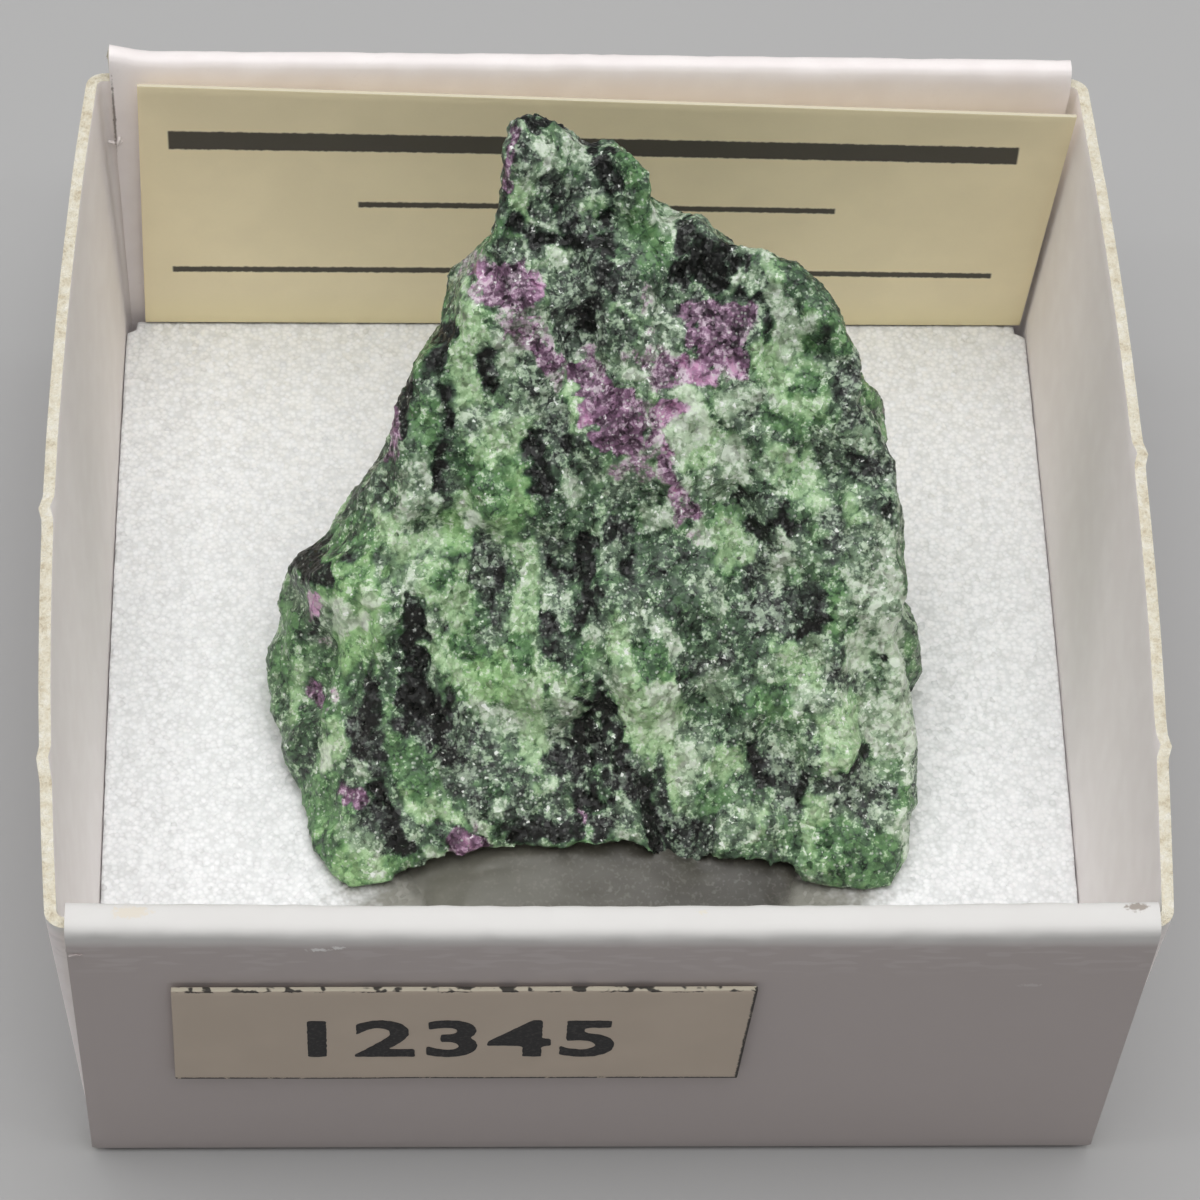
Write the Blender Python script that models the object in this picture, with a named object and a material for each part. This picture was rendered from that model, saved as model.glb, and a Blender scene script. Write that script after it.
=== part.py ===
# A rough piece of ruby in zoisite, glued on a foam pad in a small folded card
# box, with a name card standing at the back and a number label on the front.
#
# The box stands on Z = 0 around the origin. Its front wall is at -Y, and the
# stone's broken face looks forwards and up.
import math

import bmesh
import bpy
from mathutils import Matrix, Vector, noise

MM = 0.001
GAP = 0.3 * MM                       # left between pieces that touch

# The card box: its sides spread a little from the base to the rim
CARD = 0.45 * MM                     # one layer of card
BASE_HALF_X = 19.7 * MM              # half the width and depth at the base
BASE_HALF_Y = 20.0 * MM
FRONT_TOP = 18.3 * MM                # top of the front wall's rolled edge
BACK_TOP = 18.8 * MM
SIDE_TOP = 17.6 * MM                 # the sides are one layer with a raw edge
END_LEAN = 1.0 * MM                  # front and back lean outwards by this
FOLD_THICK = 1.4 * MM                # double wall at its rolled edge
FOOT_THICK = 1.0 * MM                # double wall at the floor
PANEL_INSET = 0.1 * MM               # at the foot, end panels stop short of the sides
FRONT_SPREAD = (0.4 * MM, 0.4 * MM)  # how much wider they are at the roll
BACK_SPREAD = (-0.1 * MM, 0.35 * MM)
SIDE_LEAN = {-1: 0.8 * MM, 1: 1.0 * MM}
SIDE_BOW = {-1: 0.83 * MM, 1: 0.69 * MM}
CORNER_R = 0.8 * MM
TUCK = 1.6 * MM                      # how far a side turns in behind the panels

# What stands in and on the box
FOAM_THICK = 2.75 * MM
FOAM_ROUND = 0.2 * MM
FOAM_HALF_X = 19.0 * MM
FOAM_HALF_Y = 18.7 * MM
NAME_CARD = 0.3 * MM
NUMBER_CARD = 0.2 * MM
NUMBER_MIDDLE = 10.6 * MM            # its height on the front wall
NUMBER_HALF_HEIGHT = 3.6 * MM

# The stone's broken face is a plane that leans back from this lower edge
FACE_FOOT = Vector((0.0, -10.0, 4.0)) * MM
FACE_TILT = math.radians(45)
BLOCK_RUN = Vector((0.04, 0.57, -0.82))     # the way its sides run back and down
BLOCK_DEPTH = 30.0 * MM
GRAIN = 0.5 * MM                     # mesh size while the relief is raised
CHIP_SLOPE = 0.18                    # width of the slope between chips, in chip sizes
STONE_TRIANGLES = 6800
FOAM_TOP = CARD + GAP + FOAM_THICK
STONE_FOOT = FOAM_TOP + GAP

# Outline of the face: across and up along it, in mm, from the left foot over
# the peak to the right foot and back through the arch
OUTLINE = (
    (-10.6, -0.5), (-11.8, 2.6), (-12.7, 6.0), (-13.1, 9.0), (-12.8, 11.5),
    (-10.9, 13.5), (-9.6, 15.2), (-8.4, 17.0), (-7.9, 18.9), (-6.9, 20.8),
    (-6.0, 22.2), (-5.7, 24.2), (-4.5, 25.6), (-3.7, 27.7), (-3.4, 30.3),
    (-1.4, 30.4), (0.4, 29.4), (2.2, 28.2), (3.0, 26.9), (6.0, 25.3),
    (7.8, 24.2), (9.2, 22.0), (10.3, 19.1), (11.9, 17.4), (12.4, 15.4),
    (12.4, 11.4), (12.6, 8.6), (12.8, 4.0), (12.5, 0.8), (11.7, -0.6),
    (9.6, -0.5), (7.2, 0.5), (4.2, 0.6), (1.6, 1.5), (-1.4, 1.2),
    (-5.6, 0.6), (-8.4, -0.3),
)

# Flat breaks that trim the block: a point in mm and the way each one faces
BREAKS = (
    ((0.0, 0.0, STONE_FOOT / MM), (0.0, 0.0, -1.0)),       # what it stands on
    ((0.0, 7.6, 3.8), (0.06, 0.96, -0.27)),                # back
    ((7.4, 9.6, 13.0), (0.66, 0.70, -0.26)),               # back right
    ((-7.0, 7.4, 11.0), (-0.62, 0.76, -0.18)),             # back left
    ((0.0, 4.6, 3.8), (0.0, 0.55, -0.83)),                 # low at the back
    ((-8.6, -3.4, 10.6), (-0.74, -0.40, 0.54)),            # left of the face
    ((-6.6, 3.7, 17.7), (-0.80, -0.22, 0.56)),             # left, higher up
    ((12.3, -2.0, 12.0), (0.86, -0.36, 0.36)),             # right rim
    ((6.0, 7.7, 21.7), (0.34, -0.30, 0.89)),               # right shoulder
    ((0.0, 11.6, 24.9), (0.05, 0.30, 0.95)),               # tip
)

# Lumps of pale grains stand out of the face and black streaks lie in it:
# across, up, half width, half height and rise, all in mm
MOUNDS = (
    (-9.1, 10.8, 1.5, 2.1, 1.2), (-9.0, 1.8, 2.2, 2.0, 0.8),
    (-5.0, 20.8, 0.9, 2.6, 0.6), (-2.4, 28.4, 1.0, 1.2, 0.4),
    (-3.0, 23.0, 1.6, 1.6, 0.5), (1.4, 19.2, 1.6, 2.0, 0.5),
    (4.8, 17.4, 1.5, 2.2, 0.5), (3.9, 22.0, 1.8, 2.0, 0.3),
    (2.1, 7.8, 1.4, 3.4, 0.7), (-2.6, 9.0, 1.5, 3.0, 0.5),
    (9.6, 19.4, 1.3, 2.2, 0.5), (10.1, 5.9, 1.1, 1.5, 0.6),
    (10.4, 1.0, 1.8, 1.4, 0.6), (6.2, 2.6, 1.4, 1.2, 0.5),
    (-0.9, 12.4, 0.9, 1.6, -0.7), (-7.0, 8.4, 0.8, 3.2, -1.1),
    (-8.4, 4.6, 0.7, 3.4, -0.9), (-0.4, 4.8, 1.4, 2.0, -0.6),
    (-10.7, 12.8, 0.8, 1.3, -0.8), (0.4, 26.8, 0.6, 2.6, -0.8),
    (-0.6, 22.4, 1.0, 2.6, -0.7), (10.4, 16.3, 1.7, 0.9, -0.7),
    (6.6, 11.0, 1.2, 2.2, -0.5), (7.6, 22.8, 0.5, 1.8, -0.6),
)

# Hardened glue under the arch
GLUE_CENTRE = Vector((0.4, -6.6, STONE_FOOT / MM)) * MM
GLUE_HALF = Vector((9.4, 6.0, 1.25)) * MM


def paint(obj, name, colour, roughness):
    """Give an object its own plain material."""
    material = bpy.data.materials.new(name)
    material.use_nodes = True
    shader = material.node_tree.nodes["Principled BSDF"]
    shader.inputs["Base Color"].default_value = (*colour, 1.0)
    shader.inputs["Roughness"].default_value = roughness
    shader.inputs["Metallic"].default_value = 0.0
    obj.data.materials.clear()
    obj.data.materials.append(material)
    return obj


def add_object(name, bm):
    """Close a bmesh into a new object of the scene."""
    bmesh.ops.recalc_face_normals(bm, faces=bm.faces)
    mesh = bpy.data.meshes.new(name)
    bm.to_mesh(mesh)
    bm.free()
    obj = bpy.data.objects.new(name, mesh)
    bpy.context.scene.collection.objects.link(obj)
    return obj


def as_guide(obj):
    """Keep an object only for what it cuts or joins."""
    obj.hide_render = True
    obj.display_type = "WIRE"
    return obj


def combine(obj, other, operation):
    """Join or cut an object with another one."""
    modifier = obj.modifiers.new(other.name, "BOOLEAN")
    modifier.operation = operation
    modifier.object = as_guide(other)


def smooth_by_angle(obj, degrees):
    obj.data.shade_smooth()
    obj.data.set_sharp_from_angle(angle=math.radians(degrees))


def add_block(name, low, high):
    """A box between two corners."""
    bm = bmesh.new()
    bmesh.ops.create_cube(bm, size=1.0)
    size = Vector(high) - Vector(low)
    middle = (Vector(high) + Vector(low)) / 2
    bmesh.ops.transform(bm, matrix=Matrix.Diagonal((*size, 1.0)), verts=bm.verts)
    bmesh.ops.translate(bm, vec=middle, verts=bm.verts)
    return add_object(name, bm)


def skin_between(name, outer, inner):
    """A closed sheet between two grids of points that face each other."""
    bm = bmesh.new()
    sides = [[[bm.verts.new(p) for p in row] for row in grid] for grid in (outer, inner)]
    rows = len(outer)
    columns = len(outer[0])
    for grid in sides:
        for r in range(rows - 1):
            for c in range(columns - 1):
                bm.faces.new((grid[r][c], grid[r][c + 1], grid[r + 1][c + 1], grid[r + 1][c]))
    rim = [(r, 0) for r in range(rows)]
    rim += [(rows - 1, c) for c in range(1, columns)]
    rim += [(r, columns - 1) for r in range(rows - 2, -1, -1)]
    rim += [(0, c) for c in range(columns - 2, 0, -1)]
    for (r, c), (next_r, next_c) in zip(rim, rim[1:] + rim[:1]):
        bm.faces.new((sides[0][r][c], sides[0][next_r][next_c],
                      sides[1][next_r][next_c], sides[1][r][c]))
    return add_object(name, bm)


def wall_face(height, top, depth=0.0):
    """How far out an end wall's outer face is at a height, or a depth inside it."""
    return BASE_HALF_Y + END_LEAN * height / top - depth


def add_end_wall(name, side, top, spread):
    """Front or back wall: card doubled over a rolled edge, as one section."""
    roll = FOLD_THICK / 2
    neck = top - roll
    section = [(wall_face(0.0, top), 0.0), (wall_face(neck, top), neck)]
    centre = wall_face(neck, top, roll)
    steps = 6
    for i in range(1, steps):
        turn = math.pi * i / steps
        section.append((centre + roll * math.cos(turn), neck + roll * math.sin(turn)))
    section += [(wall_face(neck, top, FOLD_THICK), neck), (BASE_HALF_Y - FOOT_THICK, 0.0)]
    half = BASE_HALF_X - PANEL_INSET
    ends = [[(end * (half + wider * z / top), side * y, z) for y, z in section]
            for end, wider in zip((-1, 1), spread)]
    bm = bmesh.new()
    left, right = ([bm.verts.new(p) for p in points] for points in ends)
    bm.faces.new(left)
    bm.faces.new(right)
    for i in range(len(section)):
        bm.faces.new((left[i - 1], left[i], right[i], right[i - 1]))
    return add_object(name, bm)


def side_path(side, height):
    """Outer line of a side wall at a height, from behind the front panel to
    behind the back one, as points with the way out of the card."""
    share = height / SIDE_TOP
    across = BASE_HALF_X + SIDE_LEAN[side] * share
    end = wall_face(height, FRONT_TOP, 0.3 * MM)
    points = [(across - TUCK, -end, 0.0, -1.0)]
    for i in range(5):
        turn = math.radians(-90 + 22.5 * i)
        points.append((across - CORNER_R + CORNER_R * math.cos(turn),
                       -end + CORNER_R + CORNER_R * math.sin(turn),
                       math.cos(turn), math.sin(turn)))
    straight = end - CORNER_R
    count = 12
    for i in range(1, count):
        y = straight * (2 * i / count - 1)
        bow = SIDE_BOW[side] * share * (1 - (y / straight) ** 2)
        points.append((across + bow, y, 1.0, 0.0))
    for x, y, out_x, out_y in reversed(points[:6]):
        points.append((x, -y, out_x, -out_y))
    return points


def add_side_wall(name, side):
    """One layer of card that bows outwards between its two corners."""
    outer = []
    inner = []
    steps = 3
    for i in range(steps + 1):
        z = SIDE_TOP * i / steps
        path = side_path(side, z)
        outer.append([(side * x, y, z) for x, y, _, _ in path])
        inner.append([(side * (x - CARD * out_x), y - CARD * out_y, z)
                      for x, y, out_x, out_y in path])
    return skin_between(name, outer, inner)


def make_card_tray():
    corner = Vector((BASE_HALF_X - CARD / 2, BASE_HALF_Y - CARD, CARD))
    tray = add_block("card_tray", (-corner.x, -corner.y, 0.0), corner)
    combine(tray, add_end_wall("front_wall", -1, FRONT_TOP, FRONT_SPREAD), "UNION")
    combine(tray, add_end_wall("back_wall", 1, BACK_TOP, BACK_SPREAD), "UNION")
    combine(tray, add_side_wall("left_wall", -1), "UNION")
    combine(tray, add_side_wall("right_wall", 1), "UNION")
    smooth_by_angle(tray, 30)
    return paint(tray, "white card", (0.82, 0.80, 0.80), 0.75)


def make_foam_pad():
    low = (-FOAM_HALF_X, -FOAM_HALF_Y, CARD + GAP)
    high = (FOAM_HALF_X, FOAM_HALF_Y, FOAM_TOP)
    foam = add_block("foam_pad", low, high)
    bevel = foam.modifiers.new("soft edge", "BEVEL")
    bevel.width = FOAM_ROUND
    bevel.segments = 2
    smooth_by_angle(foam, 40)
    return paint(foam, "white foam", (0.85, 0.86, 0.87), 0.9)


def make_name_label():
    """Thin card on the foam: its left end leans on the back wall, and its
    right end has come forward at the top."""
    foot = FOAM_TOP + GAP
    corners = {                       # front face, in mm: x, y, z
        "foot left": (-18.6, 18.45, foot / MM),
        "foot right": (19.2, 18.45, foot / MM),
        "top left": (-18.35, 18.95, 18.5),
        "top right": (20.05, 18.1, 17.9),
    }
    corner = {key: Vector(p) * MM for key, p in corners.items()}
    columns = 8
    rows = 2
    front = []
    back = []
    for r in range(rows + 1):
        left = corner["foot left"].lerp(corner["top left"], r / rows)
        right = corner["foot right"].lerp(corner["top right"], r / rows)
        line = [left.lerp(right, c / columns) for c in range(columns + 1)]
        front.append(line)
        back.append([p + Vector((0.0, NAME_CARD, 0.0)) for p in line])
    label = skin_between("name_label", front, back)
    smooth_by_angle(label, 30)
    return paint(label, "cream card", (0.62, 0.56, 0.38), 0.7)


def make_number_label():
    """Thin card on the outside of the front wall, its right end cut askew."""
    ends = ((-16.0, -16.1), (5.6, 5.25))         # x at the top and at the foot, in mm
    front = []
    back = []
    low = NUMBER_MIDDLE - NUMBER_HALF_HEIGHT
    high = NUMBER_MIDDLE + NUMBER_HALF_HEIGHT
    for row, z in enumerate((low, high)):
        y = -wall_face(z, FRONT_TOP) - GAP
        left, right = (end[1 - row] * MM for end in ends)
        back.append([(left, y, z), (right, y, z)])
        front.append([(left, y - NUMBER_CARD, z), (right, y - NUMBER_CARD, z)])
    label = skin_between("number_label", front, back)
    return paint(label, "cream card", (0.62, 0.56, 0.38), 0.7)


def on_face(across, up, out):
    """Point at a place on the stone's broken face, in metres."""
    along = Vector((0.0, math.cos(FACE_TILT), math.sin(FACE_TILT)))
    return FACE_FOOT + Vector((across, 0.0, 0.0)) + along * up + face_out() * out


def face_out():
    return Vector((0.0, -math.sin(FACE_TILT), math.cos(FACE_TILT)))


def face_place(point):
    """The reverse of on_face: across, up and out, in mm."""
    offset = (point - FACE_FOOT) / MM
    along = Vector((0.0, math.cos(FACE_TILT), math.sin(FACE_TILT)))
    return offset.x, offset.dot(along), offset.dot(face_out())


def stone_block():
    """The outline as a deep block, trimmed by the flat breaks."""
    bm = bmesh.new()
    rim = [bm.verts.new(on_face(u * MM, v * MM, 0.0)) for u, v in OUTLINE]
    face = bm.faces.new(rim)
    deep = bmesh.ops.extrude_face_region(bm, geom=[face])["geom"]
    moved = [v for v in deep if isinstance(v, bmesh.types.BMVert)]
    bmesh.ops.translate(bm, vec=BLOCK_RUN * BLOCK_DEPTH, verts=moved)
    for place, facing in BREAKS:
        everything = bm.verts[:] + bm.edges[:] + bm.faces[:]
        cut = bmesh.ops.bisect_plane(bm, geom=everything, plane_co=Vector(place) * MM,
                                     plane_no=Vector(facing), clear_outer=True)
        edges = [e for e in cut["geom_cut"] if isinstance(e, bmesh.types.BMEdge)]
        bmesh.ops.triangle_fill(bm, use_beauty=True, edges=edges)
    bmesh.ops.triangulate(bm, faces=bm.faces)
    return add_object("stone", bm)


def chip(place):
    """Height of a flat chip: each cell of the stone has its own level and tilt,
    and a short slope leads down to the next one."""
    distances, centres = noise.voronoi(place)
    levels = []
    for centre in centres[:2]:
        own = noise.cell_vector(centre * 17.3) - Vector((0.5, 0.5, 0.5))
        levels.append(own.z + 1.3 * own.dot(place - centre))
    share = 0.5 + 0.5 * min(1.0, (distances[1] - distances[0]) / CHIP_SLOPE)
    return levels[0] * share + levels[1] * (1 - share)


def relief(point, facing):
    """How far the broken surface stands out of the smooth block, in mm."""
    u, v, w = face_place(point)
    fan = u * (1 + 0.012 * (v - 15))
    rise = 0.5 * noise.noise(Vector((fan / 2.4, v / 8.0, w / 4.0)))
    rise += 1.1 * chip(Vector((fan / 3.3, v / 4.8, w / 3.8)))
    rise += 0.55 * chip(Vector((fan / 1.5, v / 2.4, w / 1.9)))
    rise += 0.25 * noise.noise(Vector((u, v, w)) * 0.9)
    shown = max(0.0, facing.dot(face_out()))
    for across, up, half_across, half_up, height in MOUNDS:
        spread = ((u - across) / half_across) ** 2 + ((v - up) / half_up) ** 2
        if spread < 4:
            rise += shown * height * math.exp(-1.2 * spread)
    return rise


def remeshed(obj):
    """The stone as one even skin, with its breaks still sharp."""
    remesh = obj.modifiers.new("even skin", "REMESH")
    remesh.mode = "VOXEL"
    remesh.voxel_size = GRAIN
    graph = bpy.context.evaluated_depsgraph_get()
    mesh = bpy.data.meshes.new_from_object(obj.evaluated_get(graph))
    obj.modifiers.clear()
    obj.data = mesh
    mesh.name = obj.name


def raise_relief(obj):
    """Move the skin along its normals, less near the flat it stands on."""
    mesh = obj.data
    normals = [Vector(v.normal) for v in mesh.vertices]
    for vertex, normal in zip(mesh.vertices, normals):
        above = (vertex.co.z - STONE_FOOT) / (1.5 * MM)
        free = min(1.0, max(0.0, above))
        vertex.co += normal * relief(vertex.co, normal) * free * MM
    mesh.update()


def make_stone():
    stone = stone_block()
    remeshed(stone)
    raise_relief(stone)
    count = sum(len(p.vertices) - 2 for p in stone.data.polygons)
    soften = stone.modifiers.new("worn steps", "SMOOTH")
    soften.factor = 0.5
    soften.iterations = 1
    decimate = stone.modifiers.new("fewer faces", "DECIMATE")
    decimate.ratio = STONE_TRIANGLES / count
    hollow = add_glue("glue_hollow", GLUE_HALF + Vector((GAP, GAP, GAP)), GLUE_CENTRE.z - 1 * MM)
    combine(stone, hollow, "DIFFERENCE")
    smooth_by_angle(stone, 35)
    return paint(stone, "ruby in zoisite", (0.12, 0.20, 0.10), 0.45)


def add_glue(name, half, foot):
    """A low mound with a flat foot."""
    bm = bmesh.new()
    bmesh.ops.create_uvsphere(bm, u_segments=28, v_segments=10, radius=1.0)
    bmesh.ops.transform(bm, matrix=Matrix.Diagonal((*half, 1.0)), verts=bm.verts)
    bmesh.ops.translate(bm, vec=GLUE_CENTRE, verts=bm.verts)
    below = [v for v in bm.verts if v.co.z < GLUE_CENTRE.z - 0.01 * MM]
    for v in below:
        v.co.z = foot
    bmesh.ops.dissolve_limit(bm, angle_limit=math.radians(1), verts=below, edges=bm.edges)
    return add_object(name, bm)


def make_glue():
    glue = add_glue("glue", GLUE_HALF, GLUE_CENTRE.z)
    glue.data.shade_smooth()
    return paint(glue, "clear glue", (0.45, 0.44, 0.42), 0.2)


def main():
    for obj in list(bpy.data.objects):
        bpy.data.objects.remove(obj)
    make_card_tray()
    make_foam_pad()
    make_stone()
    make_glue()
    make_name_label()
    make_number_label()


main()
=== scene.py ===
import math

import bmesh
import bpy
import numpy as np
from mathutils import Matrix, Vector, noise


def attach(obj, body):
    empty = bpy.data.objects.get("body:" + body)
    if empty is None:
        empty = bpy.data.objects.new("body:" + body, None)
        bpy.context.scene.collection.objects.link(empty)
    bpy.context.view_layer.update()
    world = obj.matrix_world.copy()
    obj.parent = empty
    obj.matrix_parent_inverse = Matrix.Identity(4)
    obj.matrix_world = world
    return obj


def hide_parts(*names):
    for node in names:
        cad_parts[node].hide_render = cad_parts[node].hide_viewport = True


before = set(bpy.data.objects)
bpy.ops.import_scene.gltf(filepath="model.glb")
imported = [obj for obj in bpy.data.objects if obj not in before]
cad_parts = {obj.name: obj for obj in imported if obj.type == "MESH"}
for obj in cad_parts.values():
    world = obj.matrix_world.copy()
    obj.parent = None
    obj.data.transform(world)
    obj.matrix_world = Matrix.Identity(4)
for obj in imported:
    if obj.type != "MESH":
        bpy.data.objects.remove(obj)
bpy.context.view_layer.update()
mm = 0.001

# A rough ruby in zoisite, glued on foam in a small folded card box. The box
# stands on Z = 0 with its front wall at -Y; lengths in the settings are in mm.


class Wire:  # a socket of a material that can be used in sums
    def __init__(self, tree, socket=None):
        self.tree = tree
        self.socket = socket

    def add(self, kind, settings=None, sockets=None, out=0):
        node = self.tree.nodes.new("ShaderNode" + kind)
        for name, value in (settings or {}).items():
            if name == "stops":
                fillRamp(node.color_ramp, value)
            else:
                setattr(node, name, value)
        for name, value in (sockets or {}).items():
            if isinstance(value, Wire):
                self.tree.links.new(value.socket, node.inputs[name])
            else:
                node.inputs[name].default_value = value
        return Wire(self.tree, node.outputs[out])

    def maths(self, operation, *values):
        return self.add("Math", {"operation": operation}, dict(enumerate(values)))

    def __add__(self, other):
        return self.maths("ADD", self, other)

    def __radd__(self, other):
        return self.maths("ADD", other, self)

    def __sub__(self, other):
        return self.maths("SUBTRACT", self, other)

    def __rsub__(self, other):
        return self.maths("SUBTRACT", other, self)

    def __mul__(self, other):
        return self.maths("MULTIPLY", self, other)

    def __rmul__(self, other):
        return self.maths("MULTIPLY", other, self)

    def above(self, low, high):  # 0 below low, 1 over high, smooth between
        return self.add("MapRange", {"interpolation_type": "SMOOTHSTEP"},
                        {"Value": self, "From Min": low, "From Max": high})

    def fade(self, low, high, top=1.0):  # top below low, 0 over high
        return self.add("MapRange", {"interpolation_type": "SMOOTHSTEP"},
                        {"Value": self, "From Min": low, "From Max": high,
                         "To Min": top, "To Max": 0.0})

    def within(self, low, high, soft):
        return self.above(low - soft, low + soft) * (1 - self.above(high - soft, high + soft))

    def blend(self, under, over):  # this wire is the share of the second colour
        under, over = [(*c, 1.0) if isinstance(c, tuple) else c for c in (under, over)]
        return self.add("Mix", {"data_type": "RGBA"}, {0: self, 6: under, 7: over}, out=2)

    def ramp(self, stops):
        return self.add("ValToRGB", {"stops": stops}, {"Fac": self})

    def vector(self, operation, other=None, scale=None, out=0):
        sockets = {0: self}
        if other is not None:
            sockets[1] = other
        if scale is not None:
            sockets["Scale"] = scale
        return self.add("VectorMath", {"operation": operation}, sockets, out)

    def also(self, name):  # another output of the same node
        return Wire(self.tree, self.socket.node.outputs[name])

    def part(self, axis):  # one number of a colour or vector
        return self.add("SeparateXYZ", None, {0: self}, out=axis)

    def distance(self, centre, stretch):  # from a point, with each axis stretched
        shift = [-c * s for c, s in zip(centre, stretch)]
        away = self.add("VectorMath", {"operation": "MULTIPLY_ADD"}, {0: self, 1: stretch, 2: shift})
        return away.vector("LENGTH", out="Value")

    def noise(self, scale, detail=2.0, roughness=0.5):
        return self.add("TexNoise", None, {"Vector": self, "Scale": scale, "Detail": detail,
                                           "Roughness": roughness})

    def cells(self, scale):  # small cells, each with a colour of its own
        return self.add("TexVoronoi", None, {"Vector": self, "Scale": scale}, out="Color")


def fillRamp(ramp, stops):
    while len(ramp.elements) < len(stops):
        ramp.elements.new(1.0)
    for element, (place, colour) in zip(ramp.elements, stops):
        element.position = place
        element.color = (*colour, 1.0)


def startMaterial(name, **constants):
    material = bpy.data.materials.new(name)
    material.use_nodes = True
    shader = material.node_tree.nodes["Principled BSDF"]
    for socket, value in constants.items():
        shader.inputs[socket.replace("_", " ")].default_value = value
    wire = Wire(material.node_tree)
    place = wire.add("TexCoord", out="Object").vector("SCALE", scale=1 / mm)  # in mm
    return material, place, shader


def plug(shader, **wires):
    for socket, wire in wires.items():
        wire.tree.links.new(wire.socket, shader.inputs[socket.replace("_", " ")])


def bump(height, depth):  # depth in mm
    return height.add("Bump", None, {"Height": height, "Distance": depth * mm, "Strength": 1.0})


def tilted(*facets):  # the surface's normal, turned a little in each cell of some patterns
    normal = facets[0][0].add("NewGeometry", out="Normal")
    for cells, amount in facets:
        turn = cells.vector("SUBTRACT", (0.5, 0.5, 0.5)).vector("SCALE", scale=amount)
        normal = normal.vector("ADD", turn)
    return normal.vector("NORMALIZE")


def begin(piece=None):  # leave only this piece selected
    if bpy.context.object and bpy.context.object.mode != "OBJECT":
        bpy.ops.object.mode_set(mode="OBJECT")
    bpy.ops.object.select_all(action="DESELECT")
    if piece:
        piece.select_set(True)
        bpy.context.view_layer.objects.active = piece


def editAll():
    bpy.ops.object.mode_set(mode="EDIT")
    bpy.ops.mesh.select_all(action="SELECT")


def pick(kind, test):  # in edit mode, select the edges or faces that pass
    piece = bpy.context.object
    bpy.ops.mesh.select_mode(type={"edges": "EDGE", "faces": "FACE"}[kind])
    bpy.ops.mesh.select_all(action="DESELECT")
    shape = bmesh.from_edit_mesh(piece.data)
    for item in getattr(shape, kind):
        item.select_set(bool(test(item)))
    shape.select_flush_mode()
    bmesh.update_edit_mesh(piece.data)


def middle(item):
    return sum((v.co for v in item.verts), Vector()) / len(item.verts) / mm


def addGrid(name, columns, rows, low, high):  # a flat sheet at z = 0, corners in mm
    begin()
    centre = ((low[0] + high[0]) / 2 * mm, (low[1] + high[1]) / 2 * mm, 0)
    bpy.ops.mesh.primitive_grid_add(x_subdivisions=columns, y_subdivisions=rows, size=1,
                                    location=centre)
    piece = bpy.context.object
    piece.name = piece.data.name = name
    piece.scale = ((high[0] - low[0]) * mm, (high[1] - low[1]) * mm, 1)
    bpy.ops.object.transform_apply()
    return piece


def applyModifier(piece, kind, **settings):
    begin(piece)
    modifier = piece.modifiers.new(kind.lower(), kind)
    for name, value in settings.items():
        setattr(modifier, name, value)
    bpy.ops.object.modifier_apply(modifier=modifier.name)


def thicken(piece, thickness, edge, **rim):  # make a sheet solid, with soft edges, in mm
    applyModifier(piece, "SOLIDIFY", thickness=thickness * mm, offset=-1, **rim)
    applyModifier(piece, "BEVEL", width=edge * mm, segments=2, limit_method="ANGLE",
                  angle_limit=math.radians(50))
    begin(piece)
    bpy.ops.object.shade_smooth_by_angle(angle=math.radians(40))


def smooth(piece):
    begin(piece)
    bpy.ops.object.shade_smooth()


def readPoints(mesh, kind="co"):
    flat = np.empty(len(mesh.vertices) * 3, np.float32)
    mesh.vertices.foreach_get(kind, flat)
    return flat.reshape(-1, 3).astype(float)


def writePoints(mesh, points):
    mesh.vertices.foreach_set("co", (points * mm).astype(np.float32).ravel())
    mesh.update()


def reshape(piece, move):  # move takes and gives arrays of x, y and z in mm
    points = readPoints(piece.data) / mm
    writePoints(piece.data, np.stack(move(*points.T), axis=1))


def waves(x, y, z, size, seed=0.0):  # smooth noise of a row of points, about -1 to 1
    return np.array([noise.noise(Vector((a / size, b / size, c / size + seed)))
                     for a, b, c in zip(x, y, z)])


def paint(piece, *materials):
    piece.data.materials.clear()
    for material in materials:
        piece.data.materials.append(material)


# The card tray: one folded sheet. The front and back walls are doubled over a
# roll, and the sides have a raw edge and turn in behind those walls.

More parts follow.
